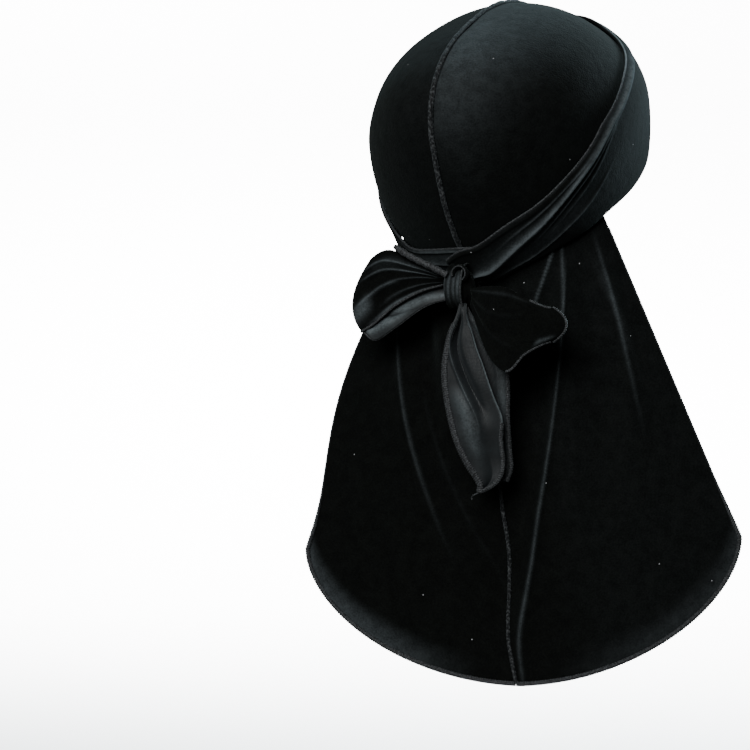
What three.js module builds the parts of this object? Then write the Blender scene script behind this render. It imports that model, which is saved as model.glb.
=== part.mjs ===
import * as THREE from "three";

// Durag of black velvet, worn and tied at the back: a crown of two panels joined by a raised
// centre seam, a wide strap wrapped round each side, a bow at the nape and a flared cape.
// Millimetres and degrees. +Z up, the wearer faces +Y and the wearer's right is +X.
// Shapes are worked out about the middle of the head form, and the group is moved at the end
// so that the origin is the inside of the crown where the top of the head touches it.

// Head form under the crown
const HEAD_HALF_WIDTH = 79.4;
const HEAD_HALF_LENGTH = 98;
const HEAD_RISE = 68;
const HEAD_DROP = 108.8;
const FACE_UP_PITCH = 15.5;

// Cloth
const CROWN_WALL = 2;
const STRAP_WALL = 1.8;
const CAPE_WALL = 1.6;
const BOW_WALL = 1.5;
const LAYER_GAP = 0.8;
const PANEL_GAP = 0.8;

// Trim
const SEAM_WIDTH = 3;
const SEAM_HEIGHT = 1.6;
const EDGING_WIDTH = 2;
const EDGING_GAP = 0.7;

// Rounded section of the seams and edgings, in shares of their width and height.
const TRIM_SECTION = [
  { across: -0.5, up: 0 },
  { across: -0.38, up: 0.62 },
  { across: 0, up: 1 },
  { across: 0.38, up: 0.62 },
  { across: 0.5, up: 0 },
  { across: 0, up: -0.12 },
];

// Cape, from the nape and ears to its rounded hem
const CAPE_RIGHT_SPAN = 75;
const CAPE_LEFT_SPAN = 72;
const CAPE_FACING = 20;
const CAPE_RIGHT_WIDTH = 127.5;
const CAPE_LEFT_WIDTH = 130.5;
const CAPE_WRAP = 30;
const CAPE_SHIFT = 34.6;
const CAPE_BEHIND = 58;
const CAPE_HEM_DEPTH = 335;
const CAPE_RIGHT_CORNER_RISE = 85;
const CAPE_LEFT_CORNER_RISE = 75;
const CAPE_LEFT_BELLY = 11;
const CAPE_BELLY_DOWN = 0.5;
const CAPE_BELLY_REACH = 0.45;
const CAPE_HEM_ROUNDNESS = 1.8;
const FOLD_DEPTH = 12;

// Knot, bow and hanging strap ends
const KNOT_ELEVATION = -41.5;
const KNOT_LIFT = 18;
const KNOT_WIDTH = 17;
const KNOT_HEIGHT = 23;
const KNOT_DEPTH = 16;
const LEFT_LOOP_REACH = 72;
const LEFT_LOOP_HEIGHT = 56;
const RIGHT_LOOP_REACH = 71;
const RIGHT_LOOP_HEIGHT = 58;
const LOOP_DEPTH = 14;
const LOOP_MIDDLE = 0.35;
const FRONT_END_LENGTH = 120;
const FRONT_END_WIDTH = 37;
const BACK_END_LENGTH = 114;
const BACK_END_WIDTH = 21.5;
const END_FACING = 20;

// Rounded rises of the crown over the plain form: where each one is centred, how far round
// it reaches, and its rise as a share of the form's half length.
const CROWN_RISES = [
  { around: 0, up: 34, reach: 42, rise: 0.047 },
  { around: 180, up: 72, reach: 42, rise: 0.036 },
  { around: -64, up: -20, reach: 42, rise: 0.045 },
];

// Lower edge of the wrapped straps round the head, in degrees from the back.
const WRAP_LOWER_EDGE = [
  { around: 0, up: -48 },
  { around: 16, up: -46 },
  { around: 38, up: -41 },
  { around: 60, up: -35 },
  { around: 76, up: -29 },
  { around: 96, up: -23.4 },
  { around: 118, up: -16.5 },
  { around: 140, up: -10 },
  { around: 180, up: -7 },
];
const RIM_ABOVE_WRAP_EDGE = 4.5;

// Sections of the right strap from the knot to its lap over the forehead: where its lower and
// upper edges run, how far each edge lifts off the crown in shares of the knot's lift, and
// where the main fold runs, as a share of the way up the strap.
const RIGHT_STRAP = [
  { lowAround: 4, lowUp: -46, lowLift: 0.28, highAround: -8, highUp: -36, highLift: 0.3, fold: 0.26 },
  { lowAround: 9, lowUp: -46, lowLift: 0.24, highAround: 1, highUp: -32.5, highLift: 0.27, fold: 0.2 },
  { lowAround: 16, lowUp: -45.7, lowLift: 0.2, highAround: 11, highUp: -30.8, highLift: 0.22, fold: 0.25 },
  { lowAround: 27, lowUp: -43.5, lowLift: 0.08, highAround: 25, highUp: -25.3, highLift: 0.12, fold: 0.42 },
  { lowAround: 38, lowUp: -41, lowLift: 0.03, highAround: 39, highUp: -20.3, highLift: 0.05, fold: 0.68 },
  { lowAround: 50, lowUp: -37.7, lowLift: 0.02, highAround: 52, highUp: -13.5, highLift: 0.02, fold: 0.81 },
  { lowAround: 63, lowUp: -34.1, lowLift: 0.02, highAround: 64, highUp: -5.5, highLift: 0.02, fold: 0.86 },
  { lowAround: 76, lowUp: -29, lowLift: 0.02, highAround: 76, highUp: 5, highLift: 0.02, fold: 0.92 },
  { lowAround: 92, lowUp: -24.5, lowLift: 0.02, highAround: 92, highUp: 18.8, highLift: 0.02, fold: 0.94 },
  { lowAround: 112, lowUp: -18.4, lowLift: 0.02, highAround: 110, highUp: 28.5, highLift: 0.02, fold: 0.94 },
  { lowAround: 133, lowUp: -12, lowLift: 0.06, highAround: 130, highUp: 38, highLift: 0.06, fold: 0.94 },
  { lowAround: 154, lowUp: -8.8, lowLift: 0.19, highAround: 152, highUp: 44, highLift: 0.19, fold: 0.94 },
  { lowAround: 175, lowUp: -7.4, lowLift: 0.2, highAround: 174, highUp: 46, highLift: 0.2, fold: 0.94 },
  { lowAround: 196, lowUp: -8, lowLift: 0.2, highAround: 196, highUp: 46, highLift: 0.2, fold: 0.94 },
];

// Sections of the left strap, which dips to a rolled edge beside the knot and fans up again
// under the right strap.
const LEFT_STRAP = [
  { lowAround: 1, lowUp: -44.5, lowLift: 0.12, highAround: -7, highUp: -32.5, highLift: 0.1, fold: 0.1 },
  { lowAround: 11, lowUp: -45, lowLift: 0.11, highAround: 3, highUp: -32.4, highLift: 0.1, fold: 0.1 },
  { lowAround: 23, lowUp: -44.5, lowLift: 0.12, highAround: 16, highUp: -33.5, highLift: 0.05, fold: 0.12 },
  { lowAround: 34, lowUp: -42.5, lowLift: 0.16, highAround: 30, highUp: -35, highLift: 0.04, fold: 0.2 },
  { lowAround: 43, lowUp: -39.8, lowLift: 0.3, highAround: 42, highUp: -35, highLift: 0.12, fold: 0.3 },
  { lowAround: 50, lowUp: -37.7, lowLift: 0.36, highAround: 50, highUp: -29.5, highLift: 0.14, fold: 0.45 },
  { lowAround: 58, lowUp: -35.6, lowLift: 0.2, highAround: 58, highUp: -23, highLift: 0.06, fold: 0.7 },
  { lowAround: 70, lowUp: -31.4, lowLift: 0.04, highAround: 70, highUp: -14, highLift: 0.02, fold: 0.86 },
  { lowAround: 84, lowUp: -26.8, lowLift: 0.02, highAround: 84, highUp: 0, highLift: 0.02, fold: 0.92 },
  { lowAround: 100, lowUp: -22.2, lowLift: 0.02, highAround: 100, highUp: 14, highLift: 0.02, fold: 0.94 },
  { lowAround: 119, lowUp: -16.2, lowLift: 0.02, highAround: 119, highUp: 28, highLift: 0.02, fold: 0.94 },
  { lowAround: 138, lowUp: -10.6, lowLift: 0.01, highAround: 138, highUp: 38, highLift: 0.01, fold: 0.94 },
  { lowAround: 158, lowUp: -8.5, lowLift: 0.01, highAround: 158, highUp: 44, highLift: 0.01, fold: 0.94 },
  { lowAround: 178, lowUp: -7.2, lowLift: 0.01, highAround: 178, highUp: 45, highLift: 0.01, fold: 0.94 },
];
const MAIN_FOLD_RISE = 2.6;
const MAIN_FOLD_REACH = 0.16;
const STRAP_EDGE_ROLL = 0.9;

// Folds of the cape. Each runs from a place on its top edge to one on its hem, both counted
// from -1 at the left side edge through 0 at the seam to 1 at the right one. Bend draws it
// towards its hem place early, rise is a share of the fold depth, and it has faded by its end.
const CAPE_FOLDS = [
  { top: 0.8, hem: 0.03, bend: 1.3, reach: 0.11, rise: 0.6, end: 1.1 },
  { top: 0.56, hem: -0.01, bend: 1.4, reach: 0.24, rise: -0.75, end: 1 },
  { top: 0.93, hem: 0.56, bend: 1, reach: 0.14, rise: 0.5, end: 0.67 },
  { top: 0.86, hem: 0.34, bend: 1.2, reach: 0.16, rise: -0.35, end: 0.85 },
  { top: -0.84, hem: -0.14, bend: 1.3, reach: 0.16, rise: 0.55, end: 0.95 },
  { top: -0.62, hem: -0.08, bend: 1.3, reach: 0.2, rise: -0.5, end: 0.95 },
  { top: -0.4, hem: -0.04, bend: 1.2, reach: 0.16, rise: 0.35, end: 0.8 },
  { top: -0.2, hem: -0.02, bend: 1, reach: 0.16, rise: -0.35, end: 0.85 },
];
const FOLD_START = 0.25;
const FOLD_FADE = 0.4;
const FLAT_SIDE_POWER = 6;

// Bow loops: the strap leaves the knot on its outer layer, turns at the tip and comes back
// behind. Out is a share of the loop's reach, back of its depth, and drop and half of its
// height, where half is half the width of the strap there.
const LEFT_LOOP = [
  { out: 0.128, back: 0.55, drop: 0.04, half: 0.07 },
  { out: 0.4, back: 0.95, drop: 0.06, half: 0.17 },
  { out: 0.66, back: 1.15, drop: 0.08, half: 0.29 },
  { out: 0.86, back: 1.1, drop: -0.06, half: 0.37 },
  { out: 0.98, back: 0.75, drop: -0.15, half: 0.34 },
  { out: 0.97, back: 0.3, drop: -0.2, half: 0.34 },
  { out: 0.84, back: 0, drop: -0.22, half: 0.37 },
  { out: 0.64, back: -0.1, drop: -0.2, half: 0.39 },
  { out: 0.36, back: 0, drop: -0.08, half: 0.22 },
  { out: 0.13, back: 0.05, drop: -0.04, half: 0.08 },
];
const RIGHT_LOOP = [
  { out: 0.13, back: 0.6, drop: -0.1, half: 0.08 },
  { out: 0.32, back: 0.95, drop: -0.32, half: 0.34 },
  { out: 0.5, back: 1.1, drop: -0.46, half: 0.41 },
  { out: 0.74, back: 1.05, drop: -0.46, half: 0.31 },
  { out: 0.94, back: 0.8, drop: -0.43, half: 0.24 },
  { out: 1, back: 0.5, drop: -0.42, half: 0.2 },
  { out: 0.93, back: 0.25, drop: -0.4, half: 0.22 },
  { out: 0.7, back: 0.12, drop: -0.42, half: 0.28 },
  { out: 0.4, back: 0.1, drop: -0.34, half: 0.3 },
  { out: 0.14, back: 0.05, drop: -0.14, half: 0.08 },
];
const LOOP_CUP = 0.12;

// Hanging ends of the straps: down is a share of the end's length, and across and half are
// shares of its width, where half is half the width of the strap there.
const FRONT_END = [
  { down: 0.08, across: 0.06, half: 0.07, back: 0.45 },
  { down: 0.19, across: 0.05, half: 0.15, back: 0.75 },
  { down: 0.29, across: 0.05, half: 0.25, back: 0.85 },
  { down: 0.39, across: 0.08, half: 0.34, back: 0.95 },
  { down: 0.52, across: 0.13, half: 0.43, back: 1 },
  { down: 0.64, across: 0.21, half: 0.47, back: 1 },
  { down: 0.73, across: 0.28, half: 0.48, back: 1 },
  { down: 0.83, across: 0.33, half: 0.4, back: 0.95 },
  { down: 0.92, across: 0.38, half: 0.24, back: 0.9 },
  { down: 1, across: 0.36, half: 0.05, back: 0.85 },
];
const BACK_END = [
  { down: 0.1, across: 0.1, half: 0.1, back: 0.2 },
  { down: 0.2, across: 0.1, half: 0.22, back: 0.3 },
  { down: 0.32, across: 0.43, half: 0.35, back: 0.36 },
  { down: 0.45, across: 0.75, half: 0.44, back: 0.4 },
  { down: 0.58, across: 0.92, half: 0.42, back: 0.4 },
  { down: 0.75, across: 1.07, half: 0.34, back: 0.38 },
  { down: 0.92, across: 1.14, half: 0.24, back: 0.36 },
  { down: 1, across: 1.14, half: 0.1, back: 0.34 },
];
const END_CURL = 5;

// Facets
const CROWN_STEPS = { along: 24, across: 10 };
const STRAP_STEPS = { along: 32, across: 9 };
const CAPE_STEPS = { along: 18, across: 17 };
const LOOP_STEPS = { along: 22, across: 6 };
const END_STEPS = { along: 13, across: 5 };
const SEAM_STEPS = 34;
const KNOT_STEPS = { around: 14, up: 9 };

const radians = THREE.MathUtils.degToRad;
const lerp = THREE.MathUtils.lerp;
const smooth = THREE.MathUtils.smoothstep;

// Reads one column of a table along a smooth curve, at a share of the way through its rows.
function along(table, column, share) {
  const place = THREE.MathUtils.clamp(share, 0, 1) * (table.length - 1);
  const row = Math.min(Math.floor(place), table.length - 2);
  const part = place - row;
  const value = (index) => table[THREE.MathUtils.clamp(index, 0, table.length - 1)][column];
  const slope = (index) => (value(index + 1) - value(index - 1)) / 2;
  const square = part * part;
  const cube = square * part;
  return (2 * cube - 3 * square + 1) * value(row) + (cube - 2 * square + part) * slope(row)
    + (3 * square - 2 * cube) * value(row + 1) + (cube - square) * slope(row + 1);
}

// Reads a table by the value of its around column.
function atAround(table, column, around) {
  const next = Math.max(1, table.findIndex((row) => row.around >= around));
  const low = table[next - 1];
  const high = table[next];
  return lerp(low[column], high[column], (around - low.around) / (high.around - low.around));
}

// A rounded rise, 1 in the middle and 0 past its reach.
function bump(distance, reach) {
  const share = Math.min(Math.abs(distance) / reach, 1);
  return (1 - share * share) ** 2;
}

// Direction on the tilted head form: degrees round from the back, and up from its equator.
function direction(around, up) {
  const level = Math.cos(radians(up));
  return new THREE.Vector3(
    level * Math.sin(radians(around)),
    -level * Math.cos(radians(around)),
    Math.sin(radians(up)),
  );
}

const PITCH_AXIS = new THREE.Vector3(1, 0, 0);

function formSize(heading) {
  return new THREE.Vector3(
    HEAD_HALF_WIDTH, HEAD_HALF_LENGTH, heading.z < 0 ? HEAD_DROP : HEAD_RISE,
  );
}

// Point on the outside of the crown in a direction, lifted off it along the form's normal.
function onHead(heading, lift) {
  const size = formSize(heading);
  const rise = CROWN_RISES.reduce((sum, row) => {
    const apart = THREE.MathUtils.radToDeg(heading.angleTo(direction(row.around, row.up)));
    return sum + row.rise * bump(apart, row.reach);
  }, 1);
  const normal = heading.clone().divide(size).normalize();
  return heading.clone().multiply(size).multiplyScalar(rise)
    .addScaledVector(normal, lift).applyAxisAngle(PITCH_AXIS, radians(FACE_UP_PITCH));
}

function wrapEdge(around) {
  return atAround(WRAP_LOWER_EDGE, "up", Math.abs(around));
}

function rim(around) {
  return wrapEdge(around) + RIM_ABOVE_WRAP_EDGE;
}

// Closed solid from a grid of outer points, a grid of inner points and the rim between them.
function solidFromGrids(outer, inner) {
  const rows = outer.length - 1;
  const columns = outer[0].length - 1;
  const perRow = columns + 1;
  const layer = (rows + 1) * perRow;
  const positions = [...outer, ...inner].flat().flatMap((point) => point.toArray());
  const at = (i, j, inside) => i * perRow + j + (inside ? layer : 0);
  const faces = [];
  const quad = (a, b, c, d) => faces.push(a, b, c, a, c, d);
  for (let i = 0; i < rows; i += 1) {
    for (let j = 0; j < columns; j += 1) {
      quad(at(i, j), at(i + 1, j), at(i + 1, j + 1), at(i, j + 1));
      quad(at(i, j, true), at(i, j + 1, true), at(i + 1, j + 1, true), at(i + 1, j, true));
    }
  }
  for (let i = 0; i < rows; i += 1) {
    quad(at(i, 0), at(i, 0, true), at(i + 1, 0, true), at(i + 1, 0));
    quad(at(i + 1, columns), at(i + 1, columns, true), at(i, columns, true), at(i, columns));
  }
  for (let j = 0; j < columns; j += 1) {
    quad(at(0, j + 1), at(0, j + 1, true), at(0, j, true), at(0, j));
    quad(at(rows, j), at(rows, j, true), at(rows, j + 1, true), at(rows, j + 1));
  }
  const geometry = new THREE.BufferGeometry();
  geometry.setAttribute("position", new THREE.Float32BufferAttribute(positions, 3));
  geometry.setIndex(faces);
  geometry.computeVertexNormals();
  return geometry;
}

const SLOPE_STEP = 0.004;

// Outward normal of a surface whose second value turns left of its first, seen from outside.
function normalOf(surface, p, q) {
  const alongFirst = surface(p + SLOPE_STEP, q).sub(surface(p - SLOPE_STEP, q));
  const alongSecond = surface(p, q + SLOPE_STEP).sub(surface(p, q - SLOPE_STEP));
  return alongFirst.cross(alongSecond).normalize();
}

// Lets a surface be lifted along its normal, as the crown and the straps can be by themselves.
function liftable(surface) {
  return (p, q, lift) => surface(p, q).addScaledVector(normalOf(surface, p, q), lift);
}

// Cloth of an even wall, whose outer face is the surface.
function cloth(surface, steps, wall, firstShare = 0, lastShare = 1) {
  const outer = [];
  const inner = [];
  for (let i = 0; i <= steps.along; i += 1) {
    const p = i / steps.along;
    const shares = Array.from({ length: steps.across + 1 },
      (_, j) => lerp(firstShare, lastShare, j / steps.across));
    outer.push(shares.map((q) => surface(p, q, 0)));
    inner.push(shares.map((q) => surface(p, q, -wall)));
  }
  return solidFromGrids(outer, inner);
}

// The same cloth on the other side, where the grid turns the other way.
function mirrored(surface) {
  return (p, q, lift) => surface(1 - p, q, lift);
}

// Crown panel between the seam and the rim, on the side of the given sign. It is a patch
// with four edges: the seam, the rim at the nape, the rim at the side and the brow.
const NAPE_CORNER = 24;
const BROW_CORNER = 158;

function seamHeading(share) {
  const backUp = rim(0);
  const sweep = lerp(backUp, 180 - rim(180), share);
  return direction(0, sweep);
}

function crownSurface(sign) {
  return (p, q, lift) => {
    const around = lerp(NAPE_CORNER, BROW_CORNER, p);
    const side = direction(sign * around, rim(around));
    const seam = seamHeading(p);
    const napeAround = NAPE_CORNER * q;
    const nape = direction(sign * napeAround, rim(napeAround));
    const browAround = lerp(180, BROW_CORNER, q);
    const brow = direction(sign * browAround, rim(browAround));
    const heading = seam.multiplyScalar(1 - q).addScaledVector(side, q)
      .addScaledVector(nape, 1 - p).addScaledVector(brow, p);
    const corners = direction(0, rim(0)).multiplyScalar((1 - p) * (1 - q))
      .addScaledVector(direction(sign * NAPE_CORNER, rim(NAPE_CORNER)), (1 - p) * q)
      .addScaledVector(direction(180, rim(180)), p * (1 - q))
      .addScaledVector(direction(sign * BROW_CORNER, rim(BROW_CORNER)), p * q);
    const point = onHead(heading.sub(corners).normalize(), lift);
    point.x += (sign * PANEL_GAP / 2) * (1 - q);
    return point;
  };
}

// Strap wrapped round the head, on the side of the given sign.
function strapSurface(table, sign) {
  return (p, q, wall) => {
    const read = (column) => along(table, column, p);
    const around = lerp(read("lowAround"), read("highAround"), q);
    const up = lerp(read("lowUp"), read("highUp"), q);
    const lift = lerp(read("lowLift"), read("highLift"), q) * KNOT_LIFT;
    const fold = MAIN_FOLD_RISE * bump(q - read("fold"), MAIN_FOLD_REACH);
    const roll = STRAP_EDGE_ROLL * bump(1 - q, MAIN_FOLD_REACH);
    const outside = LAYER_GAP + STRAP_WALL + lift + fold + roll;
    return onHead(direction(sign * around, up), outside + wall);
  };
}

// Place on the hem of the cape, counted from -1 at the left corner to 1 at the right one.
function hemPoint(across) {
  const turn = radians(90 * Math.abs(across));
  const out = Math.sign(across) * Math.sin(turn) ** (2 / CAPE_HEM_ROUNDNESS);
  const fall = Math.max(Math.cos(turn), 0) ** (2 / CAPE_HEM_ROUNDNESS);
  const facing = radians(CAPE_FACING);
  const sideways = new THREE.Vector3(Math.cos(facing), Math.sin(facing), 0);
  const inward = new THREE.Vector3(-Math.sin(facing), Math.cos(facing), 0);
  const rise = across < 0 ? CAPE_LEFT_CORNER_RISE : CAPE_RIGHT_CORNER_RISE;
  return new THREE.Vector3(CAPE_SHIFT, -CAPE_BEHIND, 0)
    .addScaledVector(sideways, out * (across < 0 ? CAPE_LEFT_WIDTH : CAPE_RIGHT_WIDTH))
    .addScaledVector(inward, out * out * CAPE_WRAP)
    .setZ(-CAPE_HEM_DEPTH + rise * (1 - fall));
}

// Share of the cape's length that lies on the head under the strap.
const TUCK_SHARE = 0.06;
const TUCK_BELOW_STRAP = 1.5;
const TRIM_START = 0.11;

function foldDepth(across, down) {
  const free = Math.max(1 - down, 0);
  return CAPE_FOLDS.reduce((sum, row) => {
    const centre = row.hem + (row.top - row.hem) * free ** row.bend;
    const starts = smooth(down, TUCK_SHARE, FOLD_START);
    const ends = 1 - smooth(down, row.end - FOLD_FADE, row.end);
    const side = 1 - Math.abs(across) ** FLAT_SIDE_POWER;
    return sum + row.rise * FOLD_DEPTH * starts * ends * side * bump(across - centre, row.reach);
  }, 0);
}

function capeBase(across, down) {
  const around = across * (across < 0 ? CAPE_LEFT_SPAN : CAPE_RIGHT_SPAN);
  const topUp = rim(around) - THREE.MathUtils.radToDeg(PANEL_GAP / HEAD_HALF_LENGTH);
  const tuckUp = wrapEdge(around) - TUCK_BELOW_STRAP;
  if (down <= TUCK_SHARE) {
    return onHead(direction(around, lerp(topUp, tuckUp, down / TUCK_SHARE)), 0);
  }
  const leaves = onHead(direction(around, tuckUp), 0);
  const fallen = (down - TUCK_SHARE) / (1 - TUCK_SHARE);
  const point = leaves.lerp(hemPoint(across), fallen);
  const belly = CAPE_LEFT_BELLY * bump(fallen - CAPE_BELLY_DOWN, CAPE_BELLY_REACH);
  point.x -= belly * Math.min(across, 0) ** 2;
  return point;
}

// Cape from its top edge under the straps down to the hem.
function capeSurface(down, across) {
  const level = (side) => capeBase(THREE.MathUtils.clamp(across + side * SLOPE_STEP, -1, 1), down);
  const outward = level(1).sub(level(-1)).cross(new THREE.Vector3(0, 0, 1)).normalize();
  return capeBase(across, down).addScaledVector(outward, foldDepth(across, down));
}

const CAPE_SEAM_SHARE = PANEL_GAP / 2 / CAPE_RIGHT_WIDTH;

// Bow loop, out to the side of the given sign.
function loopSurface(table, sign, reach, height) {
  const knot = knotCentre();
  return (p, q) => {
    const read = (column) => along(table, column, p);
    const across = 2 * q - 1;
    const cup = 1 - LOOP_CUP * across * across;
    return new THREE.Vector3(
      knot.x + sign * read("out") * reach * cup,
      knot.y - (read("back") - LOOP_MIDDLE) * LOOP_DEPTH,
      knot.z + (read("drop") + across * read("half")) * height,
    );
  };
}

function knotCentre() {
  return onHead(direction(0, KNOT_ELEVATION), KNOT_LIFT);
}

// Hanging end of a strap, spread across a line that faces a little to the wearer's right.
function endSurface(table, length, width) {
  const knot = knotCentre();
  const facing = radians(END_FACING);
  return (p, q) => {
    const read = (column) => along(table, column, p);
    const side = 2 * q - 1;
    const across = (read("across") + side * read("half")) * width;
    const back = read("back") * LOOP_DEPTH - END_CURL * side * side * read("half");
    return new THREE.Vector3(
      knot.x + across * Math.cos(facing) + back * Math.sin(facing),
      knot.y + across * Math.sin(facing) - back * Math.cos(facing),
      knot.z - read("down") * length,
    );
  };
}

// Rod of a low rounded section laid along a path, its flat side towards the cloth.
function trim(points, outwards, width, height) {
  const sides = TRIM_SECTION.length;
  const positions = [];
  points.forEach((point, index) => {
    const before = points[Math.max(index - 1, 0)];
    const after = points[Math.min(index + 1, points.length - 1)];
    const forward = after.clone().sub(before).normalize();
    const across = forward.clone().cross(outwards[index]).normalize();
    const up = across.clone().cross(forward).normalize();
    TRIM_SECTION.forEach((corner) => {
      const place = point.clone().addScaledVector(across, corner.across * width)
        .addScaledVector(up, corner.up * height);
      positions.push(...place.toArray());
    });
  });
  const faces = [];
  for (let i = 0; i < points.length - 1; i += 1) {
    for (let j = 0; j < sides; j += 1) {
      const near = i * sides + j;
      const next = i * sides + ((j + 1) % sides);
      faces.push(near, next, next + sides, near, next + sides, near + sides);
    }
  }
  const last = (points.length - 1) * sides;
  for (let j = 1; j < sides - 1; j += 1) {
    faces.push(0, j + 1, j, last, last + j, last + j + 1);
  }
  const geometry = new THREE.BufferGeometry();
  geometry.setAttribute("position", new THREE.Float32BufferAttribute(positions, 3));
  geometry.setIndex(faces);
  geometry.computeVertexNormals();
  return geometry;
}

function crownSeam() {
  const shares = Array.from({ length: SEAM_STEPS + 1 }, (_, i) => i / SEAM_STEPS);
  const points = shares.map((share) => onHead(seamHeading(share), EDGING_GAP));
  const outwards = shares.map((share, i) => onHead(seamHeading(share), SEAM_HEIGHT).sub(points[i]));
  return trim(points, outwards, SEAM_WIDTH, SEAM_HEIGHT);
}

function capeSeam() {
  const shares = Array.from({ length: SEAM_STEPS + 1 },
    (_, i) => lerp(TRIM_START, 1, i / SEAM_STEPS));
  const outwards = shares.map((share) => normalOf(capeSurface, share, 0));
  const points = shares.map((share, i) => capeSurface(share, 0)
    .addScaledVector(outwards[i], EDGING_GAP));
  return trim(points, outwards, SEAM_WIDTH, SEAM_HEIGHT);
}

// Overlocked edge of the cape, from under the strap down one side and along half of the hem.
function capeEdging(sign) {
  const { along: rows, across: columns } = CAPE_STEPS;
  const first = Math.ceil(TRIM_START * rows);
  const places = [];
  for (let i = first; i < rows; i += 1) {
    places.push([i / rows, sign]);
  }
  for (let i = 0; i <= columns; i += 1) {
    places.push([1, sign * lerp(1, CAPE_SEAM_SHARE, i / columns)]);
  }
  const edge = places.map(([down, across]) => capeSurface(down, across));
  const normals = places.map(([down, across]) => normalOf(capeSurface, down, across));
  const away = edge.map((point, i) => {
    const forward = edge[Math.min(i + 1, edge.length - 1)].clone().sub(edge[Math.max(i - 1, 0)]);
    return forward.cross(normals[i]).multiplyScalar(-sign).normalize();
  });
  const points = edge.map((point, i) => point.clone()
    .addScaledVector(normals[i], -CAPE_WALL / 2).addScaledVector(away[i], EDGING_GAP));
  return trim(points, away, EDGING_WIDTH, EDGING_WIDTH);
}

// Knot: a small upright ball with the ridges of the strap wound round it.
function knotSolid() {
  const geometry = new THREE.SphereGeometry(0.5, KNOT_STEPS.around, KNOT_STEPS.up);
  geometry.scale(KNOT_WIDTH, KNOT_DEPTH, KNOT_HEIGHT);
  const centre = knotCentre();
  return geometry.translate(centre.x, centre.y, centre.z);
}

const VELVET = { color: 0x0b0d0f, roughness: 0.9, metalness: 0 };
const SEAM_CLOTH = { color: 0x17191b, roughness: 0.85, metalness: 0 };
const OVERLOCK = { color: 0x1d1f21, roughness: 0.8, metalness: 0 };

const durag = new THREE.Group();

function add(name, geometry, finish) {
  const mesh = new THREE.Mesh(geometry, new THREE.MeshStandardMaterial(finish));
  mesh.name = name;
  durag.add(mesh);
  return mesh;
}

add("crown_right", cloth(mirrored(crownSurface(1)), CROWN_STEPS, CROWN_WALL), VELVET);
add("crown_left", cloth(crownSurface(-1), CROWN_STEPS, CROWN_WALL), VELVET);
add("crown_seam", crownSeam(), SEAM_CLOTH);
add("strap_right", cloth(strapSurface(RIGHT_STRAP, 1), STRAP_STEPS, STRAP_WALL), VELVET);
add("strap_left", cloth(mirrored(strapSurface(LEFT_STRAP, -1)), STRAP_STEPS, STRAP_WALL), VELVET);
const cape = liftable(capeSurface);
add("cape_right", cloth(cape, CAPE_STEPS, CAPE_WALL, CAPE_SEAM_SHARE, 1), VELVET);
add("cape_left", cloth(cape, CAPE_STEPS, CAPE_WALL, -1, -CAPE_SEAM_SHARE), VELVET);
add("cape_seam", capeSeam(), SEAM_CLOTH);
add("knot", knotSolid(), VELVET);
const loopLeft = loopSurface(LEFT_LOOP, -1, LEFT_LOOP_REACH, LEFT_LOOP_HEIGHT);
add("bow_loop_left", cloth(liftable(mirrored(loopLeft)), LOOP_STEPS, BOW_WALL), VELVET);
const loopRight = loopSurface(RIGHT_LOOP, 1, RIGHT_LOOP_REACH, RIGHT_LOOP_HEIGHT);
add("bow_loop_right", cloth(liftable(loopRight), LOOP_STEPS, BOW_WALL), VELVET);
const frontEnd = endSurface(FRONT_END, FRONT_END_LENGTH, FRONT_END_WIDTH);
add("strap_end_front", cloth(liftable(frontEnd), END_STEPS, BOW_WALL), VELVET);
const backEnd = endSurface(BACK_END, BACK_END_LENGTH, BACK_END_WIDTH);
add("strap_end_back", cloth(liftable(backEnd), END_STEPS, BOW_WALL), VELVET);
add("edging_right", capeEdging(1), OVERLOCK);
add("edging_left", capeEdging(-1), OVERLOCK);

// The top of the head touches the crown where the tilted form is highest.
function headTop() {
  const pitch = radians(FACE_UP_PITCH);
  const ahead = Math.atan2(HEAD_HALF_LENGTH * Math.sin(pitch), HEAD_RISE * Math.cos(pitch));
  return onHead(direction(180, 90 - THREE.MathUtils.radToDeg(ahead)), -CROWN_WALL);
}

durag.position.copy(headTop()).negate();

export default durag;
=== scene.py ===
import math

import bpy
import numpy as np
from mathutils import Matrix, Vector


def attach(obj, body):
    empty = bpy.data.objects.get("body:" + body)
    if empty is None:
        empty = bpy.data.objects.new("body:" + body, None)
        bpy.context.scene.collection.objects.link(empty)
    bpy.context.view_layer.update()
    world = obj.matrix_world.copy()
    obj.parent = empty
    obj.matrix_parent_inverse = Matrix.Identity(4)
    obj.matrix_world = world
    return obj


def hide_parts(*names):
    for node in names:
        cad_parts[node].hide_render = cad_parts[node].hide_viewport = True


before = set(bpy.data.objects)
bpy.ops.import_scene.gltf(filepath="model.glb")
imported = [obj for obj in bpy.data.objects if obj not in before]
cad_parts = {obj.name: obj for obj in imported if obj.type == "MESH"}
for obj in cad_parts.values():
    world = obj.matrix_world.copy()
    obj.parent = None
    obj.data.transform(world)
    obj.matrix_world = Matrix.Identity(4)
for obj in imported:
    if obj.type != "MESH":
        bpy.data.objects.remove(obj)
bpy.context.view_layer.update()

# Studio
# A pale floor that turns up into a wall, soft lamps above, behind at the right and in front,
# two more on the wall alone, and the camera at the photograph's place, level with the middle
# of the durag. Metres.

FLOOR_HEIGHT = -0.62
WALL_AWAY = 3.2
STUDIO_HALF_WIDTH = 4.0
COVE_RADIUS = 0.9
COVE_STEPS = 16
FLOOR_REACHES_FORWARD = 3.0
WALL_HEIGHT = 5.0
STUDIO_COLOUR = (0.9, 0.9, 0.9, 1)
AIR_BRIGHTNESS = 0.13

CAMERA_PLACE = Vector((0.6792, -1.3587, -0.2264))
CAMERA_TARGET = Vector((-0.0708, -0.0597, -0.2264))
CAMERA_LENS = 118.0

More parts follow.
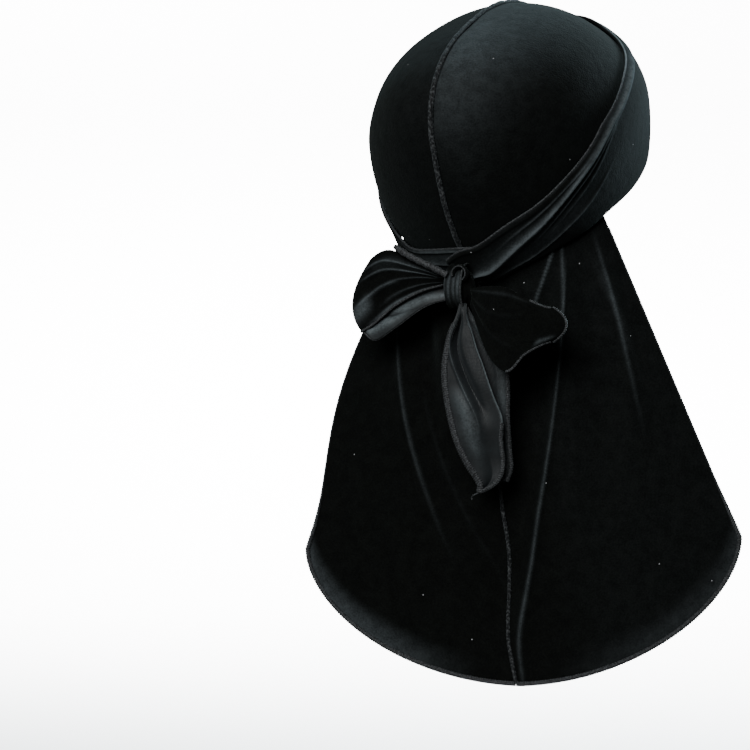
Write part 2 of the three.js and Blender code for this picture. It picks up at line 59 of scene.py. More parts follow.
camera = bpy.data.objects.new("camera", bpy.data.cameras.new("camera"))
bpy.context.scene.collection.objects.link(camera)
camera.location = CAMERA_PLACE
camera.rotation_mode = "QUATERNION"
camera.rotation_quaternion = (CAMERA_TARGET - CAMERA_PLACE).to_track_quat("-Z", "Y")
camera.data.lens = CAMERA_LENS
camera.data.clip_start = 0.05
camera.data.clip_end = 20
bpy.context.scene.camera = camera

away = (CAMERA_TARGET - CAMERA_PLACE).normalized()
sideways = away.cross(Vector((0, 0, 1))).normalized()


def new_mesh(name, points, faces):
    """A mesh object from points in metres and lists of corner numbers."""
    mesh = bpy.data.meshes.new(name)
    mesh.from_pydata([tuple(point) for point in points], [], faces)
    mesh.update()
    mesh.shade_smooth()
    piece = bpy.data.objects.new(name, mesh)
    bpy.context.scene.collection.objects.link(piece)
    return piece


cove = [(-FLOOR_REACHES_FORWARD, 0.0), (WALL_AWAY - COVE_RADIUS, 0.0)]
for step in range(1, COVE_STEPS + 1):
    turn = math.pi / 2 * step / COVE_STEPS
    cove.append((
        WALL_AWAY - COVE_RADIUS + COVE_RADIUS * math.sin(turn),
        COVE_RADIUS * (1 - math.cos(turn)),
    ))
cove.append((WALL_AWAY, WALL_HEIGHT))
studio_points = []
for far, up in cove:
    for side in (-STUDIO_HALF_WIDTH, STUDIO_HALF_WIDTH):
        studio_points.append(away * far + sideways * side + Vector((0, 0, FLOOR_HEIGHT + up)))
studio_faces = [(2 * i, 2 * i + 1, 2 * i + 3, 2 * i + 2) for i in range(len(cove) - 1)]
floor = new_mesh("floor", studio_points, studio_faces)
floor_paint = bpy.data.materials.new("pale_paper")
floor_paint.use_nodes = True
paper = floor_paint.node_tree.nodes["Principled BSDF"]
paper.inputs["Base Color"].default_value = STUDIO_COLOUR
paper.inputs["Roughness"].default_value = 0.9
paper.inputs["Specular IOR Level"].default_value = 0.1
floor.data.materials.append(floor_paint)
# The pale floor and wall throw no light back on the black cloth.
floor.visible_diffuse = False
floor.visible_glossy = False

world = bpy.data.worlds.new("studio_air")
bpy.context.scene.world = world
world.use_nodes = True
world.node_tree.nodes["Background"].inputs["Color"].default_value = (1, 1, 1, 1)
world.node_tree.nodes["Background"].inputs["Strength"].default_value = AIR_BRIGHTNESS


def soft_lamp(name, place, target, width, height, power, colour=(1, 1, 1), spread=180):
    """A rectangular soft lamp turned towards a target, its light spread over these degrees."""
    lamp = bpy.data.lights.new(name, "AREA")
    lamp.shape = "RECTANGLE"
    lamp.size = width
    lamp.size_y = height
    lamp.energy = power
    lamp.spread = math.radians(spread)
    lamp.color = colour
    holder = bpy.data.objects.new(name, lamp)
    bpy.context.scene.collection.objects.link(holder)
    holder.location = place
    holder.rotation_mode = "QUATERNION"
    holder.rotation_quaternion = (Vector(target) - Vector(place)).to_track_quat("-Z", "Y")


MIDDLE = (0, -0.02, -0.2)
WALL_MIDDLE = (-1.5, 2.8, -0.1)
soft_lamp("lamp_above", (-0.1, 0.62, 1.3), MIDDLE, 0.6, 0.6, 34, (0.66, 0.90, 1))
soft_lamp("lamp_right", (0.72, 1.47, 0.3), MIDDLE, 0.5, 1.0, 68, (0.72, 0.92, 1))
soft_lamp("lamp_front", (0.3, -2.2, 0.9), MIDDLE, 1.5, 1.2, 130)
soft_lamp("lamp_wall_left", (-2.4, 0.9, 1.8), WALL_MIDDLE, 1.5, 1.5, 330, spread=95)
soft_lamp("lamp_wall_right", (1.0, 2.0, 1.8), WALL_MIDDLE, 1.5, 1.5, 330, spread=95)

# Crown
# Two stretched velvet panels over the head, rounded out at the back and the top, and the raised
# seam sewn between them. The cloth is a black stretch velvet with a short pile outside and a
# plain grey knit inside, both with the faint unevenness of handled cloth.

NOISE_ROUGHNESS = 0.55
SHEEN_ROUGHNESS = 0.5


class Value:
    """A socket of a material, so that sums of sockets and numbers read as sums."""

    def __init__(self, tree, socket):
        self.tree = tree
        self.socket = socket

    def node(self, kind, settings, values, output=0):
        """Adds a node: its settings first, then its inputs by place or by name."""
        made = self.tree.nodes.new(kind)
        for name, setting in settings.items():
            setattr(made, name, setting)
        entries = values.items() if isinstance(values, dict) else enumerate(values)
        for name, value in entries:
            if isinstance(value, Value):
                self.tree.links.new(value.socket, made.inputs[name])
            else:
                made.inputs[name].default_value = value
        return Value(self.tree, made.outputs[output])

    def math(self, operation, *values):
        return self.node("ShaderNodeMath", {"operation": operation}, values)

    def __add__(self, other):
        return self.math("ADD", self, other)

    def __sub__(self, other):
        return self.math("SUBTRACT", self, other)

    def __rsub__(self, other):
        return self.math("SUBTRACT", other, self)

    def __mul__(self, other):
        return self.math("MULTIPLY", self, other)

    __radd__ = __add__
    __rmul__ = __mul__

    def ramp(self, low, high):
        """0 below low, 1 above high and smooth between."""
        return self.node(
            "ShaderNodeMapRange", {"interpolation_type": "SMOOTHSTEP"},
            {"Value": self, "From Min": low, "From Max": high},
        )

    def between(self, first, second):
        """A colour from the first, at 0, to the second, at 1. A Mix node takes its two colours
        at inputs 6 and 7 and gives the mixed one at output 2."""
        first, second = ((*end, 1) if isinstance(end, tuple) else end for end in (first, second))
        return self.node(
            "ShaderNodeMix", {"data_type": "RGBA"}, {0: self, 6: first, 7: second}, output=2,
        )

    def noise(self, scale, detail):
        """Soft noise, read at the place that this socket gives."""
        return self.node(
            "ShaderNodeTexNoise", {},
            {"Vector": self, "Scale": scale, "Detail": detail, "Roughness": NOISE_ROUGHNESS},
        )


def new_cloth_finish(name, roughness, specular, sheen, sheen_tint):
    """A material with its even settings on its shader, and that shader's socket to build on."""
    finish = bpy.data.materials.new(name)
    finish.use_nodes = True
    shader = finish.node_tree.nodes["Principled BSDF"]
    shader.inputs["Roughness"].default_value = roughness
    shader.inputs["Specular IOR Level"].default_value = specular
    shader.inputs["Sheen Weight"].default_value = sheen
    shader.inputs["Sheen Roughness"].default_value = SHEEN_ROUGHNESS
    shader.inputs["Sheen Tint"].default_value = (*sheen_tint, 1)
    return finish, Value(finish.node_tree, shader.outputs["BSDF"])


def place_on(surface, kind):
    """The place on a piece: Object in its own space, UV on the cloth laid flat."""
    return surface.node("ShaderNodeTexCoord", {}, {}, kind)


def rubbed_and_painted_light_on(surface):
    """How far the colour is lightened, as the mesh holds it: partly bent pile, partly painted
    highlight, sheen and bounced light.
    """
    return surface.node("ShaderNodeAttribute", {"attribute_name": "rubbed_and_painted_light"}, {}, "Fac")


def cover(surface, colour, height, strength, distance):
    """Feeds a finish its colour, and its fine relief as a bump."""
    relief = height.node(
        "ShaderNodeBump", {}, {"Strength": strength, "Distance": distance, "Height": height},
    )
    shader = surface.socket.node
    surface.tree.links.new(colour.socket, shader.inputs["Base Color"])
    surface.tree.links.new(relief.socket, shader.inputs["Normal"])


VELVET_DARK = (0.0006, 0.0007, 0.0006)
VELVET_LIGHT = (0.0025, 0.0029, 0.0026)
RUBBED_AND_PAINTED_LIGHT = (0.037, 0.044, 0.047)
LINT = (0.18, 0.185, 0.19)
PILE_GRAIN = 1000
BRUSHED_PATCHES = 150
LINT_CELLS = 30
LINT_SIZE = 0.007
LINT_RARITY = 0.8

velvet, surface = new_cloth_finish("velvet", 0.85, 0.02, 0.018, (0.75, 0.92, 0.9))
place = place_on(surface, "Object")
flat_place = place_on(surface, "UV")
rubbed_and_painted_light = rubbed_and_painted_light_on(surface)
pile = place.noise(PILE_GRAIN, 3)
patches = place.noise(BRUSHED_PATCHES, 4)
specks = {"voronoi_dimensions": "2D"}
cells = {"Vector": flat_place, "Scale": LINT_CELLS}
lint_spot = flat_place.node("ShaderNodeTexVoronoi", specks, cells)
lint_colour = flat_place.node("ShaderNodeTexVoronoi", specks, cells, "Color")
chance = lint_colour.node("ShaderNodeSeparateColor", {}, {"Color": lint_colour})
lint_here = chance.ramp(LINT_RARITY, LINT_RARITY + 0.01)
lint = (1 - lint_spot.ramp(LINT_SIZE, LINT_SIZE * 2)) * lint_here
pile_colour = (patches * 0.5 + pile * 0.7).ramp(0.3, 0.95).between(VELVET_DARK, VELVET_LIGHT)
unevenness = pile * 0.8 + patches.ramp(0.3, 0.7) * 0.2
# Painted light: the mesh's mark lifts the velvet towards a lighter colour, partly for bent pile
# and partly as painted highlight, sheen and bounced light.
worn_and_painted_light = (rubbed_and_painted_light * unevenness).between(pile_colour, RUBBED_AND_PAINTED_LIGHT)
cover(surface, lint.between(worn_and_painted_light, LINT), pile + patches * 1.2, 0.6, 0.0008)

KNIT_DARK = (0.0036, 0.0044, 0.0048)
KNIT_LIGHT = (0.0076, 0.0095, 0.0102)
KNIT_SHINE = (0.041, 0.050, 0.053)
KNIT_WALES = 2600
WAVES_AT_SCALE_ONE = 6.0
KNIT_CLOUDS = 90
KNIT_GRAIN = 900

knit, surface = new_cloth_finish("knit_reverse", 0.48, 0.11, 0.03, (0.85, 0.95, 1))
wales = surface.node(
    "ShaderNodeTexWave", {"wave_type": "BANDS", "bands_direction": "X"},
    {
        "Vector": place_on(surface, "UV"), "Scale": KNIT_WALES / WAVES_AT_SCALE_ONE,
        "Distortion": 0.6, "Detail": 1.0,
    },
)
place = place_on(surface, "Object")
cloudy = place.noise(KNIT_CLOUDS, 3)
grain = place.noise(KNIT_GRAIN, 3)
tone = (wales * 0.1 + cloudy * 0.75 + grain * 0.3).ramp(0.3, 0.9)
evenness = grain.ramp(0.3, 0.7) * 0.35 + cloudy.ramp(0.3, 0.7) * 0.35 + 0.15
# Painted highlight: the same mark lifts the grey knit towards a painted satin shine.
shine = rubbed_and_painted_light_on(surface) * evenness
knit_colour = shine.between(tone.between(KNIT_DARK, KNIT_LIGHT), KNIT_SHINE)
cover(surface, knit_colour, wales + cloudy * 2, 0.3, 0.0004)

# Millimetres and degrees about the middle of the head, +Z up, the wearer facing +Y; around
# counts from the back towards the wearer's right.
HEAD_HALF_WIDTH = 79.4
HEAD_HALF_LENGTH = 98.0
HEAD_RISE = 68.0
HEAD_DROP = 108.8
FACE_UP_PITCH = math.radians(15.5)
CROWN_WALL = 2.0


def table(columns, rows):
    """A table as a dictionary of named columns."""
    return dict(zip(columns.split(), np.array(rows, float).T))


CROWN_RISES = table("around up reach rise", [
    (0, 34, 42, 0.047),
    (180, 72, 42, 0.036),
    (-64, -20, 42, 0.045),
])
WRAP_LOWER_EDGE = table("around up", [
    (0, -48), (16, -46), (38, -41), (60, -35), (76, -29), (96, -23.4), (118, -16.5),
    (140, -10), (180, -7),
])
RIM_ABOVE_WRAP_EDGE = 4.5


def along(rows, column, share):
    """Reads a column along a smooth curve, at shares of the way through the rows."""
    values = rows[column]
    place = np.clip(share, 0, 1) * (len(values) - 1)
    row = np.minimum(np.floor(place).astype(int), len(values) - 2)
    part = place - row
    padded = np.concatenate([values[:1], values, values[-1:]])
    before, low, high, after = (padded[row + k] for k in range(4))
    slope_low, slope_high = (high - before) / 2, (after - low) / 2
    square, cube = part**2, part**3
    return (
        (2 * cube - 3 * square + 1) * low + (cube - 2 * square + part) * slope_low
        + (3 * square - 2 * cube) * high + (cube - square) * slope_high
    )


def rounded(distance, reach):
    """A rounded rise, 1 in the middle and 0 past its reach."""
    return (1 - np.minimum(np.abs(distance) / reach, 1) ** 2) ** 2


def smooth_step(value, low, high):
    part = np.clip((value - low) / (high - low), 0, 1)
    return part * part * (3 - 2 * part)


def unit(vectors):
    return vectors / np.linalg.norm(vectors, axis=-1, keepdims=True)


def direction(around, up):
    around, up = np.radians(around), np.radians(up)
    return np.stack(np.broadcast_arrays(
        np.cos(up) * np.sin(around), -np.cos(up) * np.cos(around), np.sin(up),
    ), axis=-1)


def pitched(points):
    cos, sin = math.cos(FACE_UP_PITCH), math.sin(FACE_UP_PITCH)
    x, y, z = points[..., 0], points[..., 1], points[..., 2]
    return np.stack([x, y * cos - z * sin, y * sin + z * cos], axis=-1)


def on_head(heading, lift):
    """Points on the outside of the crown in these directions, lifted off it."""
    size = np.stack([
        np.full(heading.shape[:-1], HEAD_HALF_WIDTH),
        np.full(heading.shape[:-1], HEAD_HALF_LENGTH),
        np.where(heading[..., 2] < 0, HEAD_DROP, HEAD_RISE),
    ], axis=-1)
    rise = np.ones(heading.shape[:-1])
    for around, up, reach, share in zip(*CROWN_RISES.values()):
        cosine = np.clip(heading @ direction(around, up), -1, 1)
        rise = rise + share * rounded(np.degrees(np.arccos(cosine)), reach)
    normal = unit(heading / size)
    lifted = np.broadcast_to(np.asarray(lift, float), rise.shape)
    return pitched(heading * size * rise[..., None] + normal * lifted[..., None])


def wrap_edge(around):
    return np.interp(np.abs(around), WRAP_LOWER_EDGE["around"], WRAP_LOWER_EDGE["up"])


def rim(around):
    return wrap_edge(around) + RIM_ABOVE_WRAP_EDGE


# The inside of the crown, where the top of the head touches it, is the origin.
ahead = math.atan2(
    HEAD_HALF_LENGTH * math.sin(FACE_UP_PITCH), HEAD_RISE * math.cos(FACE_UP_PITCH),
)
HEAD_TOP = on_head(direction(180, 90 - math.degrees(ahead)), -CROWN_WALL)


def metres(points):
    return (points - HEAD_TOP) * 0.001


def grid(rows, columns, first=0.0, last=1.0):
    return np.meshgrid(
        np.linspace(0, 1, rows + 1), np.linspace(first, last, columns + 1), indexing="ij",
    )


def normals(points):
    """Normals of a grid of points, to the left of its columns as its rows run."""
    return unit(np.cross(np.gradient(points, axis=0), np.gradient(points, axis=1)))


MOST_RUBBED_AND_PAINTED_LIGHT = 2.0


def cloth(name, points, wall, outward, outside=velvet, inside=knit, rubbed_and_painted_light=None):
    """A closed sheet of an even wall. Its points are the outer face, in millimetres, and
    outward is 1 or -1, whichever turns the grid's normals outwards. The last argument says where
    the colour is lightened, from 0 to 2: partly bent pile, partly painted highlight, sheen and
    bounced light."""
    rows, columns = points.shape[0] - 1, points.shape[1] - 1
    under = points - normals(points) * outward * wall
    both = metres(np.concatenate([points.reshape(-1, 3), under.reshape(-1, 3)]))
    across = columns + 1
    layer = (rows + 1) * across
    faces, finishes = [], []

    def quad(a, b, c, d, finish):
        faces.append((a, b, c, d) if outward > 0 else (a, d, c, b))
        finishes.append(finish)

    for i in range(rows):
        for j in range(columns):
            a, b = i * across + j, (i + 1) * across + j
            quad(a, b, b + 1, a + 1, 0)
            quad(layer + a, layer + a + 1, layer + b + 1, layer + b, 1)
    for i in range(rows):
        for j, side in ((0, 1), (columns, -1)):
            a, b = i * across + j, (i + 1) * across + j
            ring = (a, layer + a, layer + b, b)
            quad(*(ring if side > 0 else ring[::-1]), 0)
    for j in range(columns):
        for i, side in ((0, -1), (rows, 1)):
            a = i * across + j
            ring = (a, layer + a, layer + a + 1, a + 1)
            quad(*(ring if side > 0 else ring[::-1]), 0)
    piece = new_mesh(name, both, faces)
    piece.data.materials.append(outside)
    piece.data.materials.append(inside)
    piece.data.polygons.foreach_set("material_index", finishes)
    steps_down = np.diff(points, axis=0, prepend=points[:1])
    steps_across = np.diff(points, axis=1, prepend=points[:, :1])
    lengths_down = np.cumsum(np.linalg.norm(steps_down, axis=2), 0)
    lengths_across = np.cumsum(np.linalg.norm(steps_across, axis=2), 1)
    flat = np.stack([lengths_across, lengths_down], axis=-1).reshape(-1, 2) * 0.001
    flat = np.concatenate([flat, flat])
    uv = piece.data.uv_layers.new(name="flat")
    corners = np.zeros(len(piece.data.loops), int)
    piece.data.loops.foreach_get("vertex_index", corners)
    uv.data.foreach_set("uv", flat[corners].ravel())
    if rubbed_and_painted_light is not None:
        both_faces = np.concatenate([rubbed_and_painted_light.ravel(), rubbed_and_painted_light.ravel()]).clip(0, MOST_RUBBED_AND_PAINTED_LIGHT)
        mark = piece.data.attributes.new("rubbed_and_painted_light", "FLOAT", "POINT")
        mark.data.foreach_set("value", both_faces)
    return piece


def rod(name, points, up, width, height, finish, ribs=0.0, pitch=1.4):
    """A low rounded rod laid along a path. ribs is the share by which ribs of thread swell it,
    one at each pitch."""
    forward = unit(np.gradient(points, axis=0))
    side = unit(np.cross(forward, up))
    above = np.cross(side, forward)
    run = np.concatenate([[0], np.cumsum(np.linalg.norm(np.diff(points, axis=0), axis=1))])
    sides = 10
    turn = np.arange(sides) / sides * 2 * math.pi
    swell = 1 + ribs * np.sin(run[:, None] / pitch * 2 * math.pi + turn[None, :])
    width, height = (np.broadcast_to(size, run.shape)[:, None] for size in (width, height))
    rings = (
        points[:, None]
        + side[:, None] * (np.cos(turn)[None, :] * swell * width / 2)[..., None]
        + above[:, None] * (np.sin(turn)[None, :] * swell * height / 2)[..., None]
    )
    count = len(points)
    faces = []
    for i in range(count - 1):
        for j in range(sides):
            a, b = i * sides + j, i * sides + (j + 1) % sides
            faces.append((a, a + sides, b + sides, b))
    faces.append(tuple(range(sides)))
    faces.append(tuple((count - 1) * sides + j for j in reversed(range(sides))))
    piece = new_mesh(name, metres(rings.reshape(-1, 3)), faces)
    piece.data.materials.append(finish)
    return piece


def settle(piece, slot_name, *nodes):
    """Sets a piece on the durag's one body, in the place of its CAD nodes."""
    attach(piece, "root")
    if nodes:
        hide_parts(*nodes)


NAPE_CORNER = 24.0
BROW_CORNER = 158.0
PANEL_GAP = 0.8
VELVET_WALL = 1.1
CROWN_GRID = (110, 56)
PUCKER_DEPTH = 0.25
PUCKERS_ALONG_SEAM = 61
PUCKER_FADE = 22


def seam_heading(share):
    return direction(0, rim(0) + (180 - rim(180) - rim(0)) * share)


def crown_points(sign, p, q, lift):
    """The crown panel of one side: a patch between the seam, the nape, the side and the brow."""
    around = NAPE_CORNER + (BROW_CORNER - NAPE_CORNER) * p
    nape_around = NAPE_CORNER * q
    brow_around = 180 + (BROW_CORNER - 180) * q
    p, q = p[..., None], q[..., None]
    heading = (
        seam_heading(p[..., 0]) * (1 - q)
        + direction(sign * around, rim(around)) * q
        + direction(sign * nape_around, rim(nape_around)) * (1 - p)
        + direction(sign * brow_around, rim(brow_around)) * p
        - direction(0, rim(0)) * (1 - p) * (1 - q)
        - direction(sign * NAPE_CORNER, rim(NAPE_CORNER)) * (1 - p) * q
        - direction(180, rim(180)) * p * (1 - q)
        - direction(sign * BROW_CORNER, rim(BROW_CORNER)) * p * q
    )
    points = on_head(unit(heading), lift)
    points[..., 0] += sign * PANEL_GAP / 2 * (1 - q[..., 0])
    return points


# A painted sheen highlight lightens the right panel near the seam, at the top of the head, and
# faintly the left one. Along the seam and away from it are shares of the panel, from its nape
# and from the seam.
PAINTED_SHEEN = {"right": 0.75, "left": 0.08}
PAINTED_SHEEN_ALONG = 0.47
PAINTED_SHEEN_ALONG_REACH = 0.33
PAINTED_SHEEN_AWAY = 0.06
PAINTED_SHEEN_AWAY_REACH = 0.45
CROWN_NAP = 0.03

for side_name, sign in (("right", 1), ("left", -1)):
    p, q = grid(*CROWN_GRID)
    puckers = PUCKER_DEPTH * np.sin(p * PUCKERS_ALONG_SEAM) * np.exp(-q * PUCKER_FADE)
    points = crown_points(sign, p, q, puckers)
    painted_light_patch = PAINTED_SHEEN[side_name] * rounded(p - PAINTED_SHEEN_ALONG, PAINTED_SHEEN_ALONG_REACH)
    painted_light_patch = painted_light_patch * rounded(q - PAINTED_SHEEN_AWAY, PAINTED_SHEEN_AWAY_REACH)
    panel = cloth(
        f"crown_{side_name}", points, VELVET_WALL, -sign, rubbed_and_painted_light=painted_light_patch + CROWN_NAP,
    )
    settle(panel, "velvet", f"crown_{side_name}")

# The raised seam is the velvet folded back on itself and stitched. Its colour, mottled and
# lighter than the velvet, is partly worn pile and partly a painted highlight along the ridge.
SEAM_DARK = (0.0025, 0.0028, 0.003)
SEAM_LIGHT = (0.034, 0.037, 0.038)
SEAM_GRAIN = 700
SEAM_STEPS = 420
SEAM_WIDTH = 3.2
SEAM_HEIGHT = 2.6
SEAM_STANDS = 0.9
SEAM_WOBBLE = 0.25

seam_cloth, surface = new_cloth_finish("seam_cloth", 0.8, 0.05, 0.04, (0.8, 0.93, 1))
rub = place_on(surface, "Object").noise(SEAM_GRAIN, 3)
cover(surface, rub.ramp(0.4, 0.75).between(SEAM_DARK, SEAM_LIGHT), rub, 0.4, 0.0005)

share = np.linspace(0, 1, SEAM_STEPS)
wobble = SEAM_WOBBLE * np.sin(share * 173) * np.sin(share * 59)
middle = on_head(seam_heading(share), SEAM_STANDS + wobble)
upwards = unit(on_head(seam_heading(share), 10) - middle)
crown_seam = rod(
    "crown_seam", middle, upwards, SEAM_WIDTH, SEAM_HEIGHT, seam_cloth, ribs=0.06, pitch=3.1,
)
settle(crown_seam, "seam_cloth", "crown_seam")

# Straps
# Two wide velvet straps. Each starts at the crown's side, wraps over the forehead and comes
# back round to the knot at the nape, its cloth gathered into folds that run together towards
# the knot. Their cut edges are overlocked with polyester thread.

KNOT_ELEVATION = -41.5
KNOT_LIFT = 18.0
STRAP_WALL = 1.8
LAYER_GAP = 0.8
STRAP_GRID = (220, 90)

RIGHT_STRAP = table("low_around low_up low_lift high_around high_up high_lift", [
    (4, -46, 0.28, -8, -36, 0.3),
    (9, -46, 0.24, 1, -32.5, 0.27),
    (16, -45.7, 0.2, 11, -30.8, 0.22),
    (27, -43.5, 0.08, 25, -25.3, 0.12),
    (38, -41, 0.03, 39, -20.3, 0.05),
    (50, -37.7, 0.02, 52, -13.5, 0.02),
    (63, -34.1, 0.02, 64, -5.5, 0.02),
    (76, -29, 0.02, 76, 5, 0.02),
    (92, -24.5, 0.02, 92, 18.8, 0.02),
    (112, -18.4, 0.02, 110, 28.5, 0.02),
    (133, -12, 0.06, 130, 38, 0.06),
    (154, -8.8, 0.19, 152, 44, 0.19),
    (175, -7.4, 0.2, 174, 46, 0.2),
    (196, -8, 0.2, 196, 46, 0.2),
])
LEFT_STRAP = table("low_around low_up low_lift high_around high_up high_lift", [
    (1, -44.5, 0.12, -7, -32.5, 0.1),
    (11, -45, 0.11, 3, -32.4, 0.1),
    (23, -44.5, 0.12, 16, -33.5, 0.05),
    (34, -42.5, 0.16, 30, -34.5, 0.03),
    (43, -39.8, 0.12, 42, -33.5, 0.01),
    (50, -37.7, 0.12, 50, -28.5, 0.01),
    (58, -35.6, 0.06, 58, -22.5, 0.01),
    (70, -31.4, 0.04, 70, -14, 0.02),
    (84, -26.8, 0.02, 84, 0, 0.02),
    (100, -22.2, 0.02, 100, 14, 0.02),
    (119, -16.2, 0.02, 119, 28, 0.02),
    (138, -10.6, 0.01, 138, 38, 0.01),
    (158, -8.5, 0.01, 158, 44, 0.01),
    (178, -7.2, 0.01, 178, 45, 0.01),
])

# Folds of a strap: where each runs, as a share of the way up the strap at places from the knot
# to the forehead, how wide it is and how high, in millimetres, where along the strap it starts
# and fades, and how far it lightens the colour along it, partly as bent pile and partly as
# painted highlight and sheen.
RIGHT_FOLDS = table("at_0 at_1 at_2 at_3 at_4 at_5 width rise start fade_from fade_to rub", [
    (0.30, 0.32, 0.59, 0.84, 0.90, 0.93, 0.085, 3.2, 0.00, 0.60, 0.8, 2.0),
    (0.56, 0.60, 0.80, 0.91, 0.94, 0.95, 0.028, 0.7, 0.26, 0.40, 0.5, 1.0),
    (0.14, 0.10, 0.36, 0.70, 0.84, 0.90, 0.030, 1.1, 0.36, 0.56, 0.72, 1.4),
    (0.08, 0.06, 0.22, 0.56, 0.80, 0.88, 0.028, 0.7, 0.42, 0.50, 0.6, 0.9),
    (0.04, 0.06, 0.10, 0.30, 0.56, 0.76, 0.026, 0.8, 0.22, 0.46, 0.56, 1.2),
    (0.40, 0.40, 0.40, 0.40, 0.40, 0.40, 0.420, 0.2, 0.14, 0.80, 1.0, 0.25),
    (0.20, 0.20, 0.30, 0.40, 0.40, 0.40, 0.450, 0.1, 0.10, 0.36, 0.5, 0.35),
])
LEFT_FOLDS = table("at_0 at_1 at_2 at_3 at_4 at_5 width rise start fade_from fade_to rub", [
    (0.08, 0.10, 0.16, 0.50, 0.80, 0.90, 0.090, 2.4, 0.00, 0.32, 0.5, 1.0),
    (0.50, 0.46, 0.50, 0.70, 0.86, 0.92, 0.050, 0.9, 0.02, 0.25, 0.4, 0.4),
    (0.92, 0.92, 0.90, 0.90, 0.92, 0.94, 0.060, 0.5, 0.00, 0.30, 0.42, 0.6),
    (0.62, 0.62, 0.60, 0.60, 0.60, 0.60, 0.400, 0.3, 0.00, 0.14, 0.34, 1.0),
])

# The folds fill this share of the strap from the knot and are wider at a fifth of its length.
# Its upper edge is rolled, rubbed and lightened by a painted highlight, and hugs the crown.
FOLDED_SHARE = 0.7
FOLD_SPREAD = 0.8
FOLD_SPREAD_AT = 0.2
EDGE_ROLL = 0.9
EDGE_ROLL_AT = 0.93
EDGE_ROLL_REACH = 0.07
EDGE_WEAR_AND_HIGHLIGHT = 0.9
EDGE_WEAR_AND_HIGHLIGHT_REACH = 0.04
EDGE_WEAR_AND_HIGHLIGHT_TO = (0.5, 0.7)
EDGE_HUG = 0.42
EDGE_HUG_FROM = 0.86


def strap_points(rows, folds, sign, p, q):
    around = along(rows, "low_around", p) * (1 - q) + along(rows, "high_around", p) * q
    up = along(rows, "low_up", p) * (1 - q) + along(rows, "high_up", p) * q
    lift = (along(rows, "low_lift", p) * (1 - q) + along(rows, "high_lift", p) * q) * KNOT_LIFT
    relief = EDGE_ROLL * rounded(EDGE_ROLL_AT - q, EDGE_ROLL_REACH)
    rubbed_and_painted_light = EDGE_WEAR_AND_HIGHLIGHT * rounded(1 - q, EDGE_WEAR_AND_HIGHLIGHT_REACH)
    rubbed_and_painted_light = rubbed_and_painted_light * (1 - smooth_step(p, *EDGE_WEAR_AND_HIGHLIGHT_TO))
    for k in range(len(folds["width"])):
        path = {"at": np.array([folds[f"at_{n}"][k] for n in range(6)])}
        centre = along(path, "at", p / FOLDED_SHARE)
        strength = smooth_step(p, folds["start"][k] - 0.1, folds["start"][k] + 0.04)
        strength = strength * (1 - smooth_step(p, folds["fade_from"][k], folds["fade_to"][k]))
        spread = 1 + FOLD_SPREAD * rounded(p - FOLD_SPREAD_AT, FOLD_SPREAD_AT)
        apart = np.abs(q - centre) / folds["width"][k] / spread
        relief = relief + folds["rise"][k] * strength * np.exp(-(apart**1.4) * 1.5)
        rubbed_and_painted_light = rubbed_and_painted_light + folds["rub"][k] * strength * np.exp(-(apart**2) * 4)
    hug = 1 - EDGE_HUG * smooth_step(q, EDGE_HUG_FROM, 1)
    outside = (LAYER_GAP + STRAP_WALL) * hug + lift + relief
    return on_head(direction(sign * around, up), outside), rubbed_and_painted_light


THREAD_DARK = (0.003, 0.0033, 0.0035)
THREAD_LIGHT = (0.029, 0.032, 0.034)
THREAD_FUZZ = 1400
OVERLOCK_STEPS = 700
OVERLOCK_RIBS = 0.14
OVERLOCK_PITCH = 1.3

thread, surface = new_cloth_finish("overlock_thread", 0.6, 0.12, 0.03, (0.9, 0.97, 1))
fuzz = place_on(surface, "Object").noise(THREAD_FUZZ, 2)
cover(surface, fuzz.ramp(0.35, 0.7).between(THREAD_DARK, THREAD_LIGHT), fuzz, 0.5, 0.0004)


def edge_rod(name, points, column, first, last, width, height, inset=0.4):
    """The overlocked edge along one side of a sheet, from one share of its length to another,
    its middle set in from the edge by inset."""
    edge = points[:, column]
    inner = points[:, 1 if column == 0 else -2]
    fine = np.linspace(first, last, OVERLOCK_STEPS) * (len(edge) - 1)
    low = np.floor(fine).astype(int).clip(0, len(edge) - 2)
    part = (fine - low)[:, None]
    edge = edge[low] + (edge[low + 1] - edge[low]) * part
    inner = inner[low] + (inner[low + 1] - inner[low]) * part
    out = unit(edge - inner)
    line = edge - out * inset
    piece = rod(name, line, out, width, height, thread, OVERLOCK_RIBS, OVERLOCK_PITCH)
    settle(piece, "overlock_thread")
    return piece


for side_name, sign, rows, folds in (
    ("right", 1, RIGHT_STRAP, RIGHT_FOLDS), ("left", -1, LEFT_STRAP, LEFT_FOLDS),
):
    p, q = grid(*STRAP_GRID)
    points, rubbed_and_painted_light = strap_points(rows, folds, sign, p, q)
    strap = cloth(f"strap_{side_name}", points, VELVET_WALL, sign, rubbed_and_painted_light=rubbed_and_painted_light)
    settle(strap, "velvet", f"strap_{side_name}")
    edge = edge_rod(
        f"strap_{side_name}_upper_overlock", points, -1, first=0.01, last=0.9, width=0.9,
        height=1.2,
    )

# Cape
# A long velvet cape in two halves, sewn down the middle, that falls from the nape and spreads
# to a rounded hem. It hangs turned a little to the wearer's right, in soft long folds, and its
# sides and hem are overlocked with thread.

CAPE_RIGHT_SPAN = 75.0
CAPE_LEFT_SPAN = 72.0
CAPE_FACING = math.radians(20)
CAPE_RIGHT_WIDTH = 127.5
CAPE_LEFT_WIDTH = 130.5
CAPE_WRAP = 30.0
CAPE_SHIFT = 34.6
CAPE_BEHIND = 58.0
CAPE_HEM_DEPTH = 335.0
CAPE_RIGHT_CORNER_RISE = 85.0
CAPE_LEFT_CORNER_RISE = 75.0
CAPE_LEFT_BELLY = 11.0
CAPE_BELLY_DOWN = 0.5
CAPE_BELLY_REACH = 0.45
CAPE_HEM_ROUNDNESS = 1.8
CAPE_GRID = (150, 190)
TUCK_SHARE = 0.06
TUCK_BELOW_STRAP = 1.5
